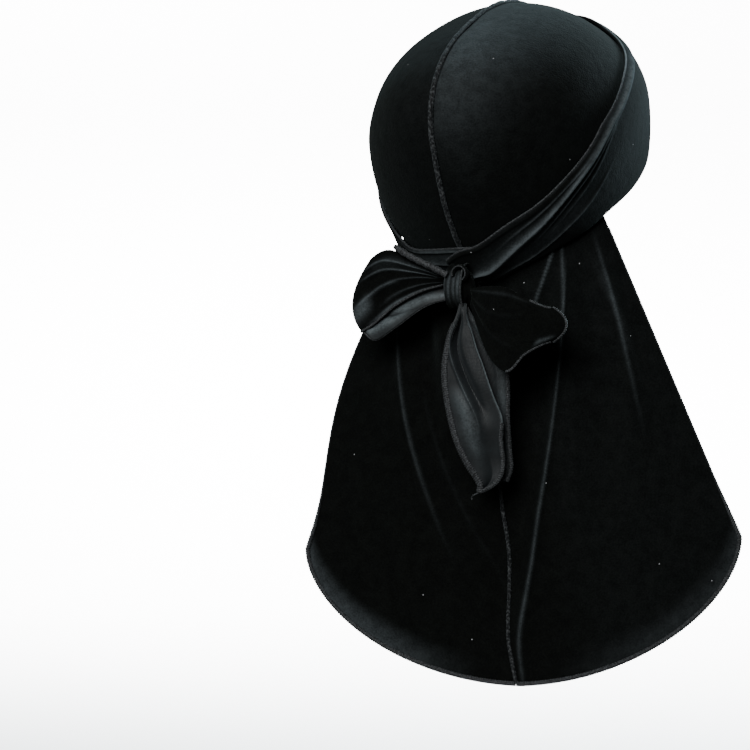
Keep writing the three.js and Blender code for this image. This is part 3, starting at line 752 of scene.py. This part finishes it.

# Each fold runs from its top place to its hem place, from -1 at the left edge to 1 at the
# right; bend draws it towards the hem place early. It stands out by rise, over its reach to
# each side, between the shares of the way down where it starts and ends. Sharp ones are thin
# ridges. Along its top, by rub, a line of this half width is lightened, partly as rubbed pile
# and partly as a painted highlight.
CAPE_FOLDS = table("top hem bend reach rise start end sharp line rub", [
    (0.80, 0.03, 1.75, 0.060, 5.5, 0.06, 1.15, 1, 0.007, 0.8),
    (0.56, -0.01, 1.75, 0.24, -8.0, 0.10, 1.05, 0, 0.010, 0),
    (0.93, 0.53, 1.0, 0.11, 4.6, 0.06, 0.60, 0, 0.012, 0.8),
    (0.86, 0.34, 1.4, 0.16, -2.2, 0.10, 0.85, 0, 0.010, 0),
    (0.77, -1.60, 1.0, 0.040, 2.0, -0.12, 0.34, 1, 0.012, 1.6),
    (0.75, -0.27, 1.0, 0.035, 1.6, -0.12, 0.36, 1, 0.010, 0.9),
    (0.84, 0.78, 1.0, 0.050, 2.0, 0.10, 0.50, 0, 0.020, 0.3),
    (-0.86, 0.00, 1.0, 0.09, 4.0, 0.12, 0.78, 1, 0.010, 0.5),
    (-0.62, -0.04, 1.2, 0.2, -5.5, 0.10, 0.95, 0, 0.010, 0),
    (-0.80, 0.20, 1.0, 0.06, 1.6, 0.34, 0.86, 1, 0.012, 0.07),
    (-0.40, -0.04, 1.2, 0.16, 3.0, 0.10, 0.80, 0, 0.010, 0),
    (-0.20, -0.02, 1.0, 0.16, -4.0, 0.10, 0.85, 0, 0.010, 0),
])
# How far the middle seam sways to the side, in millimetres, at even steps from nape to hem.
CAPE_SEAM_SWAY = table("shift", [
    (0,), (0,), (0,), (0,), (0,), (-0.3,), (-0.6,), (1.2,), (-0.8,), (-3.0,), (-0.5,),
])
CAPE_SEAM_SWAY_REACH = 0.2
# A painted band of light bounced up along the hem, strongest at the left, and faint painted light
# over the right half of the cape.
HEM_PAINTED_BOUNCE_LEFT = 0.8
HEM_PAINTED_BOUNCE_RIGHT = 0.35
HEM_PAINTED_BOUNCE_REACH = 0.07
RIGHT_HALF_PAINTED_LIGHT = 0.05
FOLD_RISES_OVER = 0.16
FOLD_FADES_OVER = 0.35


def hem_points(across):
    turn = np.radians(90 * np.abs(across))
    out = np.sign(across) * np.sin(turn) ** (2 / CAPE_HEM_ROUNDNESS)
    fall = np.maximum(np.cos(turn), 0) ** (2 / CAPE_HEM_ROUNDNESS)
    left = across < 0
    reach = out * np.where(left, CAPE_LEFT_WIDTH, CAPE_RIGHT_WIDTH)
    wrap = out * out * CAPE_WRAP
    rise = np.where(left, CAPE_LEFT_CORNER_RISE, CAPE_RIGHT_CORNER_RISE)
    cos, sin = math.cos(CAPE_FACING), math.sin(CAPE_FACING)
    return np.stack([
        CAPE_SHIFT + reach * cos - wrap * sin,
        -CAPE_BEHIND + reach * sin + wrap * cos,
        -CAPE_HEM_DEPTH + rise * (1 - fall),
    ], axis=-1)


def cape_base(across, down):
    around = across * np.where(across < 0, CAPE_LEFT_SPAN, CAPE_RIGHT_SPAN)
    top_up = rim(around) - math.degrees(PANEL_GAP / HEAD_HALF_LENGTH)
    tuck_up = wrap_edge(around) - TUCK_BELOW_STRAP
    tucked = np.minimum(down / TUCK_SHARE, 1)
    leaves = on_head(direction(around, top_up + (tuck_up - top_up) * tucked), 0.0)
    fallen = np.maximum(down - TUCK_SHARE, 0) / (1 - TUCK_SHARE)
    points = leaves + (hem_points(across) - leaves) * fallen[..., None]
    belly = CAPE_LEFT_BELLY * rounded(fallen - CAPE_BELLY_DOWN, CAPE_BELLY_REACH)
    points[..., 0] -= belly * np.minimum(across, 0) ** 2
    sway = along(CAPE_SEAM_SWAY, "shift", down)
    points[..., 0] += sway * rounded(across, CAPE_SEAM_SWAY_REACH)
    return points


def cape_relief(across, down):
    free = np.maximum(1 - down, 0)
    depth = np.zeros(across.shape)
    # Painted light bounced up along the hem, and faint painted light over the right half.
    painted_light_patch = np.where(across < 0, HEM_PAINTED_BOUNCE_LEFT, HEM_PAINTED_BOUNCE_RIGHT)
    painted_light_patch = painted_light_patch * smooth_step(np.abs(across), 0.1, 0.5)
    rubbed_and_painted_light = painted_light_patch * rounded(1 - down, HEM_PAINTED_BOUNCE_REACH)
    rubbed_and_painted_light = rubbed_and_painted_light + RIGHT_HALF_PAINTED_LIGHT * smooth_step(across, 0.1, 0.4)
    for top, hem, bend, reach, rise, start, end, sharp, line, rub in zip(*CAPE_FOLDS.values()):
        centre = hem + (top - hem) * free**bend
        strength = smooth_step(down, start, start + FOLD_RISES_OVER)
        strength = strength * (1 - smooth_step(down, end - FOLD_FADES_OVER, end))
        side = 1 - np.abs(across) ** 6
        apart = np.abs(across - centre) / reach
        shape = np.exp(-apart * 1.8) if sharp else (1 - np.minimum(apart, 1) ** 2) ** 2
        depth = depth + rise * strength * side * shape
        mark = np.exp(-((across - centre) / line) ** 2)
        rubbed_and_painted_light = rubbed_and_painted_light + rub * strength * mark
    return depth, rubbed_and_painted_light


def cape_points(across, down):
    step = 0.004
    ahead = cape_base(np.clip(across + step, -1, 1), down)
    behind = cape_base(np.clip(across - step, -1, 1), down)
    outward = unit(np.cross(ahead - behind, np.array([0.0, 0.0, 1.0])))
    return cape_base(across, down) + outward * cape_relief(across, down)[0][..., None]


SEAM_SHARE = PANEL_GAP / 2 / CAPE_RIGHT_WIDTH
for side_name, first, last in (("right", SEAM_SHARE, 1.0), ("left", -1.0, -SEAM_SHARE)):
    down, across = grid(*CAPE_GRID, first, last)
    points = cape_points(across, down)
    half = cloth(
        f"cape_{side_name}", points, VELVET_WALL, 1, rubbed_and_painted_light=cape_relief(across, down)[1],
    )
    settle(half, "velvet", f"cape_{side_name}")

CAPE_SEAM_FROM = 0.07
CAPE_SEAM_SIZE = 2.2
CAPE_SEAM_STANDS = 0.6
ROUGHLY_OUT = np.array([0.3, -1, 0])

down = np.linspace(CAPE_SEAM_FROM, 1.0, SEAM_STEPS)
middle = cape_points(np.zeros(down.shape), down)
facing = -normals(cape_points(*np.meshgrid([-0.01, 0, 0.01], down)))[:, 1]
facing = facing * np.sign(np.sum(facing * ROUGHLY_OUT, axis=1))[:, None]
cape_seam = rod(
    "cape_seam", middle + facing * CAPE_SEAM_STANDS, facing, CAPE_SEAM_SIZE, CAPE_SEAM_SIZE,
    seam_cloth, ribs=0.09, pitch=2.7,
)
settle(cape_seam, "seam_cloth", "cape_seam")

# The edging runs down a side and along the hem to the seam, thin at the side and full below.
EDGING_FROM = 0.1
EDGING_SIDE_STEPS = 799
EDGING_HEM_STEPS = 1000
EDGING_THIN = 1.0
EDGING_WIDER_BELOW = 1.2
EDGING_HIGHER_BELOW = 1.8
INWARD_SHARE = 0.03

for side_name, sign in (("right", 1.0), ("left", -1.0)):
    sides = np.linspace(EDGING_FROM, 1.0, EDGING_SIDE_STEPS + 1)[:-1]
    hems = np.linspace(1.0, SEAM_SHARE, EDGING_HEM_STEPS)
    down = np.concatenate([sides, np.ones(EDGING_HEM_STEPS)])
    across = sign * np.concatenate([np.ones(EDGING_SIDE_STEPS), hems])
    edge = cape_points(across, down)
    inner = cape_points(across * (1 - INWARD_SHARE), down - INWARD_SHARE * (down >= 1))
    out = unit(edge - inner)
    lower = smooth_step(down, 0.8, 1.0)
    edging = rod(
        f"edging_{side_name}", edge + out * (0.4 * lower - 0.1)[:, None], out,
        EDGING_THIN + EDGING_WIDER_BELOW * lower, EDGING_THIN + EDGING_HIGHER_BELOW * lower,
        thread, OVERLOCK_RIBS, pitch=1.5,
    )
    settle(edging, "overlock_thread", f"edging_{side_name}")

# Bow
# The straps are tied at the nape: a knot wound with cloth, one loop out to each side and two
# hanging ends that turn their grey reverse outwards. Every cut edge is overlocked.

KNOT_WIDTH = 17.0
KNOT_HEIGHT = 23.0
KNOT_DEPTH = 16.0
KNOT_AROUND = 96
KNOT_RINGS = 64
WINDINGS = 5
WINDING_RISE = 0.055
FINE_WINDINGS = 11
FINE_WINDING_RISE = 0.03
BACKWARDS = np.array([0.0, -1.0, 0.0])

knot_centre = on_head(direction(0.0, KNOT_ELEVATION), KNOT_LIFT)
around, up = np.meshgrid(
    np.linspace(0, 2 * math.pi, KNOT_AROUND + 1)[:-1],
    np.linspace(-math.pi / 2, math.pi / 2, KNOT_RINGS + 1),
)
windings = WINDING_RISE * np.sin(around * WINDINGS + 1.4 * np.sin(up * 2))
fine_windings = FINE_WINDING_RISE * np.sin(around * FINE_WINDINGS + up * 3)
wound = 1 + windings + fine_windings
ball = np.stack([
    np.cos(up) * np.sin(around) * KNOT_WIDTH / 2,
    -np.cos(up) * np.cos(around) * KNOT_DEPTH / 2,
    np.sin(up) * KNOT_HEIGHT / 2,
], axis=-1) * wound[..., None] + knot_centre
knot_faces = []
for i in range(KNOT_RINGS):
    for j in range(KNOT_AROUND):
        a, b = i * KNOT_AROUND + j, i * KNOT_AROUND + (j + 1) % KNOT_AROUND
        knot_faces.append((a, b, b + KNOT_AROUND, a + KNOT_AROUND))
knot = new_mesh("knot", metres(ball.reshape(-1, 3)), knot_faces)
knot.data.materials.append(velvet)
settle(knot, "velvet", "knot")

# The last turn's edge curls up in a small ring at the knot's upper right, its overlock outside.
CURL_FROM = math.radians(200)
CURL_TO = math.radians(-60)
CURL_STEPS = 60
CURL_RADIUS = 4.4
CURL_TO_RIGHT = 3.2
CURL_UP = 7.6
CURL_SUNK = 0.2
CURL_WIDTH = 2.4
CURL_HEIGHT = 3.2
CURL_EDGE_SIZE = 0.8
CURL_EDGE_STANDS = 1.8

turn = np.linspace(CURL_FROM, CURL_TO, CURL_STEPS)
ring = knot_centre + np.stack([
    CURL_TO_RIGHT + CURL_RADIUS * np.cos(turn),
    np.full(CURL_STEPS, -KNOT_DEPTH / 2 + CURL_SUNK),
    CURL_UP + CURL_RADIUS * np.sin(turn),
], axis=-1)
knot_curl = rod("knot_curl", ring, BACKWARDS, CURL_WIDTH, CURL_HEIGHT, velvet)
settle(knot_curl, "velvet")
curl_overlock = rod(
    "knot_curl_overlock", ring + BACKWARDS * CURL_EDGE_STANDS, BACKWARDS, CURL_EDGE_SIZE,
    CURL_EDGE_SIZE, thread, OVERLOCK_RIBS, OVERLOCK_PITCH,
)
settle(curl_overlock, "overlock_thread")

# The turn of strap that is wound over the outside of the knot, its edges curled up.
WRAP_FROM = math.radians(118)
WRAP_TO = math.radians(-72)
WRAP_HALF_WIDTH = 5.6
WRAP_STANDS_OFF = 1.3
WRAP_EDGE_CURL = 1.1
WRAP_PLEAT_RISE = 0.35
WRAP_WIDEST_AT = 0.55
WRAP_NARROWING = 0.3
WRAP_TO_LEFT = 0.4
WRAP_WALL = 0.8
WRAP_GRID = (60, 24)
WRAP_PAINTED_HIGHLIGHT = 1.3
WRAP_PAINTED_HIGHLIGHT_AT = 0.62
WRAP_PAINTED_HIGHLIGHT_REACH = 0.3

p, q = grid(*WRAP_GRID)
angle = WRAP_FROM + (WRAP_TO - WRAP_FROM) * p
side = 2 * q - 1
pleats = WRAP_PLEAT_RISE * np.sin(q * 19 + p * 3)
stands_off = WRAP_STANDS_OFF + WRAP_EDGE_CURL * side**2 + pleats
narrowed = 1 - WRAP_NARROWING * np.abs(p - WRAP_WIDEST_AT)
wrap_points = knot_centre + np.stack([
    side * WRAP_HALF_WIDTH * narrowed - WRAP_TO_LEFT,
    -np.cos(angle) * (KNOT_DEPTH / 2 + stands_off),
    np.sin(angle) * (KNOT_HEIGHT / 2 + stands_off),
], axis=-1)
# A painted highlight, in stripes, lightens the wound turn's lower front.
wrap_painted_highlight = WRAP_PAINTED_HIGHLIGHT * rounded(p - WRAP_PAINTED_HIGHLIGHT_AT, WRAP_PAINTED_HIGHLIGHT_REACH)
wrap_painted_highlight = wrap_painted_highlight * (0.6 + 0.4 * np.sin(q * 23 + p * 5))
knot_wrap = cloth("knot_wrap", wrap_points, WRAP_WALL, 1, rubbed_and_painted_light=wrap_painted_highlight)
settle(knot_wrap, "velvet")
wrap_overlock = edge_rod(
    "knot_wrap_right_overlock", wrap_points, -1, first=0, last=1, width=0.8, height=0.9,
)

# Each loop is a strip that goes out from the knot in the layer that shows and comes back in the
# one behind it. At even steps a row gives how far out the strip's middle is, as a share of the
# reach, and how far back, as a share of the depth, which has the knot's middle at LOOP_MIDDLE.
# Then come a tilt, which turns the lower edge back, and how far up the middle is and half the
# width, as shares of the height.
LOOP_GRID = (150, 60)
LOOP_WALL = 0.9
LOOP_DEPTH = 14.0
LOOP_MIDDLE = 0.35
LOOP_CUP = 0.12
LEFT_LOOP_REACH = 72.0
LEFT_LOOP_HEIGHT = 56.0
LEFT_LOOP = table("out back tilt up half", [
    (0.128, 0.45, -0.1, 0.08, 0.045),
    (0.4, 0.72, -0.25, 0.12, 0.16),
    (0.66, 0.95, -0.3, 0.105, 0.295),
    (0.86, 1.0, -0.1, -0.025, 0.355),
    (0.98, 0.8, 0.2, -0.12, 0.34),
    (0.97, 0.5, 0.4, -0.175, 0.295),
    (0.84, 0.35, 0.55, -0.225, 0.325),
    (0.64, 0.3, 0.5, -0.16, 0.26),
    (0.36, 0.2, 0.3, -0.06, 0.14),
    (0.13, 0.1, 0, -0.04, 0.08),
])
RIGHT_LOOP_REACH = 66.0
RIGHT_LOOP_HEIGHT = 58.0
RIGHT_LOOP = table("out back tilt up half", [
    (0.13, 0.6, 0, -0.1, 0.08),
    (0.36, 0.95, 0, -0.33, 0.33),
    (0.6, 1.1, 0, -0.44, 0.42),
    (0.8, 1.05, 0, -0.405, 0.285),
    (0.98, 0.8, 0, -0.4, 0.19),
    (1.06, 0.5, 0, -0.39, 0.17),
    (0.98, 0.25, 0, -0.39, 0.18),
    (0.7, 0.12, 0, -0.42, 0.28),
    (0.4, 0.1, 0, -0.34, 0.3),
    (0.14, 0.05, 0, -0.14, 0.08),
])

# Gathers of a loop: how far up the strip each one lies at its near end and at its far end, from
# where to where along the loop it runs, its width, its rise in millimetres and its rub, which
# lightens the colour as bent pile and painted highlight, or darkens it as painted shade below 0.
LEFT_GATHERS = table("near far from to width rise rub", [
    (0.78, 0.84, 0.00, 0.44, 0.045, 1.3, 1.3),
    (0.62, 0.68, 0.00, 0.40, 0.040, 1.1, 1.6),
    (0.84, 0.76, 0.00, 0.34, 0.200, 0.4, 0.5),
    (0.50, 0.40, 0.02, 0.24, 0.050, 0.8, 0.7),
    (0.40, 0.30, 0.16, 0.46, 0.060, 1.5, 1.0),
    (0.68, 0.56, 0.10, 0.34, 0.150, -2.0, 0),
    (0.24, 0.12, 0.00, 0.30, 0.050, 1.0, 0.6),
    (0.04, 0.03, 0.00, 0.40, 0.050, 0.6, 1.8),
    (0.30, 0.16, 0.28, 0.52, 0.200, 1.2, 1.3),
    (0.40, 0.50, 0.58, 0.96, 0.100, -2.0, 2.0),
    (0.15, 0.15, 0.60, 0.90, 0.120, 1.2, 1.2),
    (0.25, 0.25, 0.56, 1.40, 0.300, 0.5, 1.25),
    (0.42, 0.05, 0.66, 0.90, 0.090, -1.5, -1.3),
    (0.66, 0.60, 0.52, 0.94, 0.140, 1.0, 2.4),
])
RIGHT_GATHERS = table("near far from to width rise rub", [
    (0.90, 0.92, 0.00, 0.40, 0.050, 0.8, 0.25),
    (0.55, 0.70, 0.00, 0.30, 0.060, 1.0, 0.05),
    (0.30, 0.30, 0.00, 0.28, 0.060, 0.9, 0.05),
    (0.16, 0.16, 0.34, 0.50, 0.140, 0.6, 1.0),
])


def loop_points(rows, gathers, sign, reach, height, p, q):
    across = 2 * q - 1
    cup = 1 - LOOP_CUP * across**2
    back = along(rows, "back", p) - along(rows, "tilt", p) * across
    relief = np.zeros(p.shape)
    rubbed_and_painted_light = np.zeros(p.shape)
    for near, far, start, end, width, rise, rub in zip(*gathers.values()):
        centre = near + (far - near) * np.clip((p - start) / (end - start), 0, 1)
        middle = (start + end) / 2
        strength = smooth_step(p, start, start + 0.05) * (1 - smooth_step(p, middle, end))
        apart = np.abs(q - centre) / width
        relief = relief + rise * strength * np.exp(-(apart**1.5) * 1.4)
        rubbed_and_painted_light = rubbed_and_painted_light + rub * strength * np.exp(-(apart**2) * 5)
    points = np.stack([
        knot_centre[0] + sign * along(rows, "out", p) * reach * cup,
        knot_centre[1] - (back - LOOP_MIDDLE) * LOOP_DEPTH - relief,
        knot_centre[2] + (along(rows, "up", p) + across * along(rows, "half", p)) * height,
    ], axis=-1)
    return points, rubbed_and_painted_light


# The row of the right loop's grid where it is folded flat, at its end.
RIGHT_LOOP_FOLD = 80
FOLD_STEPS_PER_COLUMN = 8
SIDEWAYS = np.array([1.0, 0.0, 0.0])
LOOP_OVERLOCK_SIZE = (1.1, 1.5)

# The overlock shows on the lower and the upper edge between these shares of the loop's length.
for side_name, sign, rows, gathers, reach, height, lower, upper in (
    ("left", -1, LEFT_LOOP, LEFT_GATHERS, LEFT_LOOP_REACH, LEFT_LOOP_HEIGHT, (0.02, 1), (0.45, 1)),
    ("right", 1, RIGHT_LOOP, RIGHT_GATHERS, RIGHT_LOOP_REACH, RIGHT_LOOP_HEIGHT,
     (0.22, 0.5), (0.36, 0.5)),
):
    p, q = grid(*LOOP_GRID)
    points, rubbed_and_painted_light = loop_points(rows, gathers, sign, reach, height, p, q)
    loop = cloth(f"bow_loop_{side_name}", points, LOOP_WALL, sign, rubbed_and_painted_light=rubbed_and_painted_light)
    settle(loop, "velvet", f"bow_loop_{side_name}")
    edges = [
        edge_rod(
            f"bow_loop_{side_name}_lower_overlock", points, 0, *lower, *LOOP_OVERLOCK_SIZE,
        ),
        edge_rod(
            f"bow_loop_{side_name}_upper_overlock", points, -1, *upper, *LOOP_OVERLOCK_SIZE,
        ),
    ]
    if sign > 0:
        # The overlocked edge turns the corner at the right loop's fold.
        columns = LOOP_GRID[1]
        steps = np.linspace(0, columns, columns * FOLD_STEPS_PER_COLUMN + 1)
        fold = points[RIGHT_LOOP_FOLD]
        corner = np.stack([
            np.interp(steps, np.arange(columns + 1), fold[:, k]) for k in range(3)
        ], axis=-1)
        turn_edge = rod(
            "bow_loop_right_end_overlock", corner, SIDEWAYS, 1.2, 1.5, thread, OVERLOCK_RIBS,
            OVERLOCK_PITCH,
        )
        settle(turn_edge, "overlock_thread")
        edges.append(turn_edge)

# Above the left loop the strap's lower edge is rolled up like a rope, ribbed and as light as an
# overlock. These are points along it, from its outer end to the knot, in millimetres from the
# middle of the knot.
ROLLED_EDGE = table("x y z", [
    (-37.5, -13.5, 24.5), (-31, -13.6, 20.4), (-24.8, -13.2, 17), (-18, -12.4, 13.8),
    (-11.3, -11.2, 10.6), (-4.5, -9.4, 6.8),
])
ROLLED_STEPS = 120
ROLLED_WIDTH = 3.9
ROLLED_HEIGHT = 3.2
ROLLED_END_NARROWS = 0.35
ROLLED_UNEVENNESS = 0.08

share = np.linspace(0, 1, ROLLED_STEPS)
roll = knot_centre + np.stack([along(ROLLED_EDGE, k, share) for k in ("x", "y", "z")], axis=-1)
narrowed = ROLLED_END_NARROWS * smooth_step(share, 0.1, 0.0)
swell = 1 - narrowed + ROLLED_UNEVENNESS * np.sin(share * 40)
rolled_edge = rod(
    "strap_left_rolled_edge", roll, BACKWARDS, ROLLED_WIDTH * swell, ROLLED_HEIGHT * swell,
    thread, ribs=0.05, pitch=2.2,
)
settle(rolled_edge, "velvet")

# The two hanging ends. At even steps a row gives how far down it is, as a share of the length,
# how far across its middle is and half its width, as shares of the full width, and how far back
# it stands, as a share of the loops' depth.
END_GRID = (140, 60)
END_WALL = 0.9
FRONT_END_LENGTH = 120.0
FRONT_END_WIDTH = 37.0
FRONT_END = table("down across half back", [
    (0.08, 0.05, 0.06, 0.45),
    (0.15, 0.033, 0.095, 0.7),
    (0.22, 0.027, 0.188, 0.82),
    (0.3, 0.036, 0.26, 0.88),
    (0.38, 0.068, 0.329, 0.95),
    (0.46, 0.114, 0.373, 1),
    (0.54, 0.175, 0.403, 1),
    (0.64, 0.268, 0.436, 1),
    (0.75, 0.317, 0.387, 1),
    (0.856, 0.41, 0.325, 0.95),
    (0.92, 0.46, 0.235, 0.92),
    (0.965, 0.44, 0.14, 0.9),
    (1, 0.33, 0.04, 0.87),
])
BACK_END_LENGTH = 114.0
BACK_END_WIDTH = 21.5
BACK_END = table("down across half back", [
    (0.1, 0.1, 0.1, 0.2),
    (0.175, 0.24, 0.2, 0.28),
    (0.286, 0.55, 0.35, 0.34),
    (0.398, 0.85, 0.42, 0.38),
    (0.482, 0.93, 0.42, 0.4),
    (0.676, 1, 0.35, 0.38),
    (0.82, 1.14, 0.26, 0.37),
    (0.93, 1.2, 0.24, 0.36),
    (1, 1.2, 0.12, 0.34),
])
END_FACING = math.radians(20)
END_CURL = 5.0

# Creases of the hanging ends: how far across each runs at places down the end, from 0 at its
# left edge to 1 at its right one, where it starts and ends, its width, how far it stands out,
# in millimetres, and how far it lightens the colour, partly as rubbed pile and partly as a
# painted highlight of the knit's satin shine.
FRONT_CREASES = table("at_0 at_1 at_2 at_3 at_4 at_5 start end width rise rub", [
    (0.40, 0.15, 0.37, 0.545, 0.55, 0.50, 0.02, 0.70, 0.045, 2.4, 0.6),
    (0.60, 0.36, 0.52, 0.70, 0.72, 0.60, 0.03, 0.64, 0.13, -5.4, 0),
    (0.20, 0.20, 0.25, 0.38, 0.40, 0.40, 0.42, 0.80, 0.20, 1.8, 1.1),
    (0.50, 0.50, 0.50, 0.60, 0.66, 0.55, 0.60, 1.10, 0.22, -2.4, 0),
    (0.98, 0.98, 0.985, 0.985, 0.98, 0.98, 0.00, 0.72, 0.030, 1.0, 2.4),
])
BACK_CREASES = table("at_0 at_1 at_2 at_3 at_4 at_5 start end width rise rub", [
    (0.50, 0.60, 0.62, 0.60, 0.60, 0.50, 0.10, 0.95, 0.16, -1.6, 0),
    (0.80, 0.80, 0.80, 0.80, 0.80, 0.80, 0.02, 0.70, 0.30, 0.6, 0.7),
])


def end_points(rows, creases, length, width, p, q):
    side = 2 * q - 1
    half = along(rows, "half", p)
    across = (along(rows, "across", p) + side * half) * width
    back = along(rows, "back", p) * LOOP_DEPTH - END_CURL * side**2 * half
    rubbed_and_painted_light = np.zeros(p.shape)
    for k in range(len(creases["width"])):
        path = {"at": np.array([creases[f"at_{n}"][k] for n in range(6)])}
        strength = smooth_step(p, creases["start"][k], creases["start"][k] + 0.14)
        strength = strength * (1 - smooth_step(p, creases["end"][k] - 0.2, creases["end"][k]))
        apart = np.abs(q - along(path, "at", p)) / creases["width"][k]
        back = back + creases["rise"][k] * strength * np.exp(-(apart**1.5) * 1.4)
        rubbed_and_painted_light = rubbed_and_painted_light + creases["rub"][k] * strength * np.exp(-(apart**2) * 2)
    cos, sin = math.cos(END_FACING), math.sin(END_FACING)
    points = np.stack([
        knot_centre[0] + across * cos + back * sin,
        knot_centre[1] + across * sin - back * cos,
        knot_centre[2] - along(rows, "down", p) * length,
    ], axis=-1)
    return points, rubbed_and_painted_light


for end_name, rows, creases, length, width, right_from in (
    ("front", FRONT_END, FRONT_CREASES, FRONT_END_LENGTH, FRONT_END_WIDTH, 0.6),
    ("back", BACK_END, BACK_CREASES, BACK_END_LENGTH, BACK_END_WIDTH, 0.12),
):
    p, q = grid(*END_GRID)
    points, rubbed_and_painted_light = end_points(rows, creases, length, width, p, q)
    end = cloth(
        f"strap_end_{end_name}", points, END_WALL, 1, outside=knit, inside=velvet,
        rubbed_and_painted_light=rubbed_and_painted_light,
    )
    settle(end, "velvet", f"strap_end_{end_name}")
    edges = [
        edge_rod(
            f"strap_end_{end_name}_left_overlock", points, 0, first=0.12, last=1, width=1.5,
            height=3.8, inset=1.6,
        ),
        edge_rod(
            f"strap_end_{end_name}_right_overlock", points, -1, first=right_from, last=1,
            width=1.4, height=2.6, inset=1.0,
        ),
    ]

# A short end of thread hangs from the tip of the front end, bowed to the left.
LOOSE_THREAD_STEPS = 24
LOOSE_THREAD_SIZE = 0.9
LOOSE_THREAD_ACROSS = 16.5
LOOSE_THREAD_BACK = 7.0
LOOSE_THREAD_LEANS = 5.5
LOOSE_THREAD_BOWS = 2.5
LOOSE_THREAD_DROPS = 4.5

share = np.linspace(0, 1, LOOSE_THREAD_STEPS)
leaning = LOOSE_THREAD_LEANS * share + LOOSE_THREAD_BOWS * np.sin(share * math.pi)
hanging = knot_centre + np.stack([
    LOOSE_THREAD_ACROSS - leaning,
    np.full(LOOSE_THREAD_STEPS, -LOOSE_THREAD_BACK),
    -FRONT_END_LENGTH - LOOSE_THREAD_DROPS * share,
], axis=-1)
loose_thread = rod(
    "loose_thread", hanging, BACKWARDS, LOOSE_THREAD_SIZE, LOOSE_THREAD_SIZE, thread, ribs=0.1,
    pitch=OVERLOCK_PITCH,
)
settle(loose_thread, "overlock_thread")
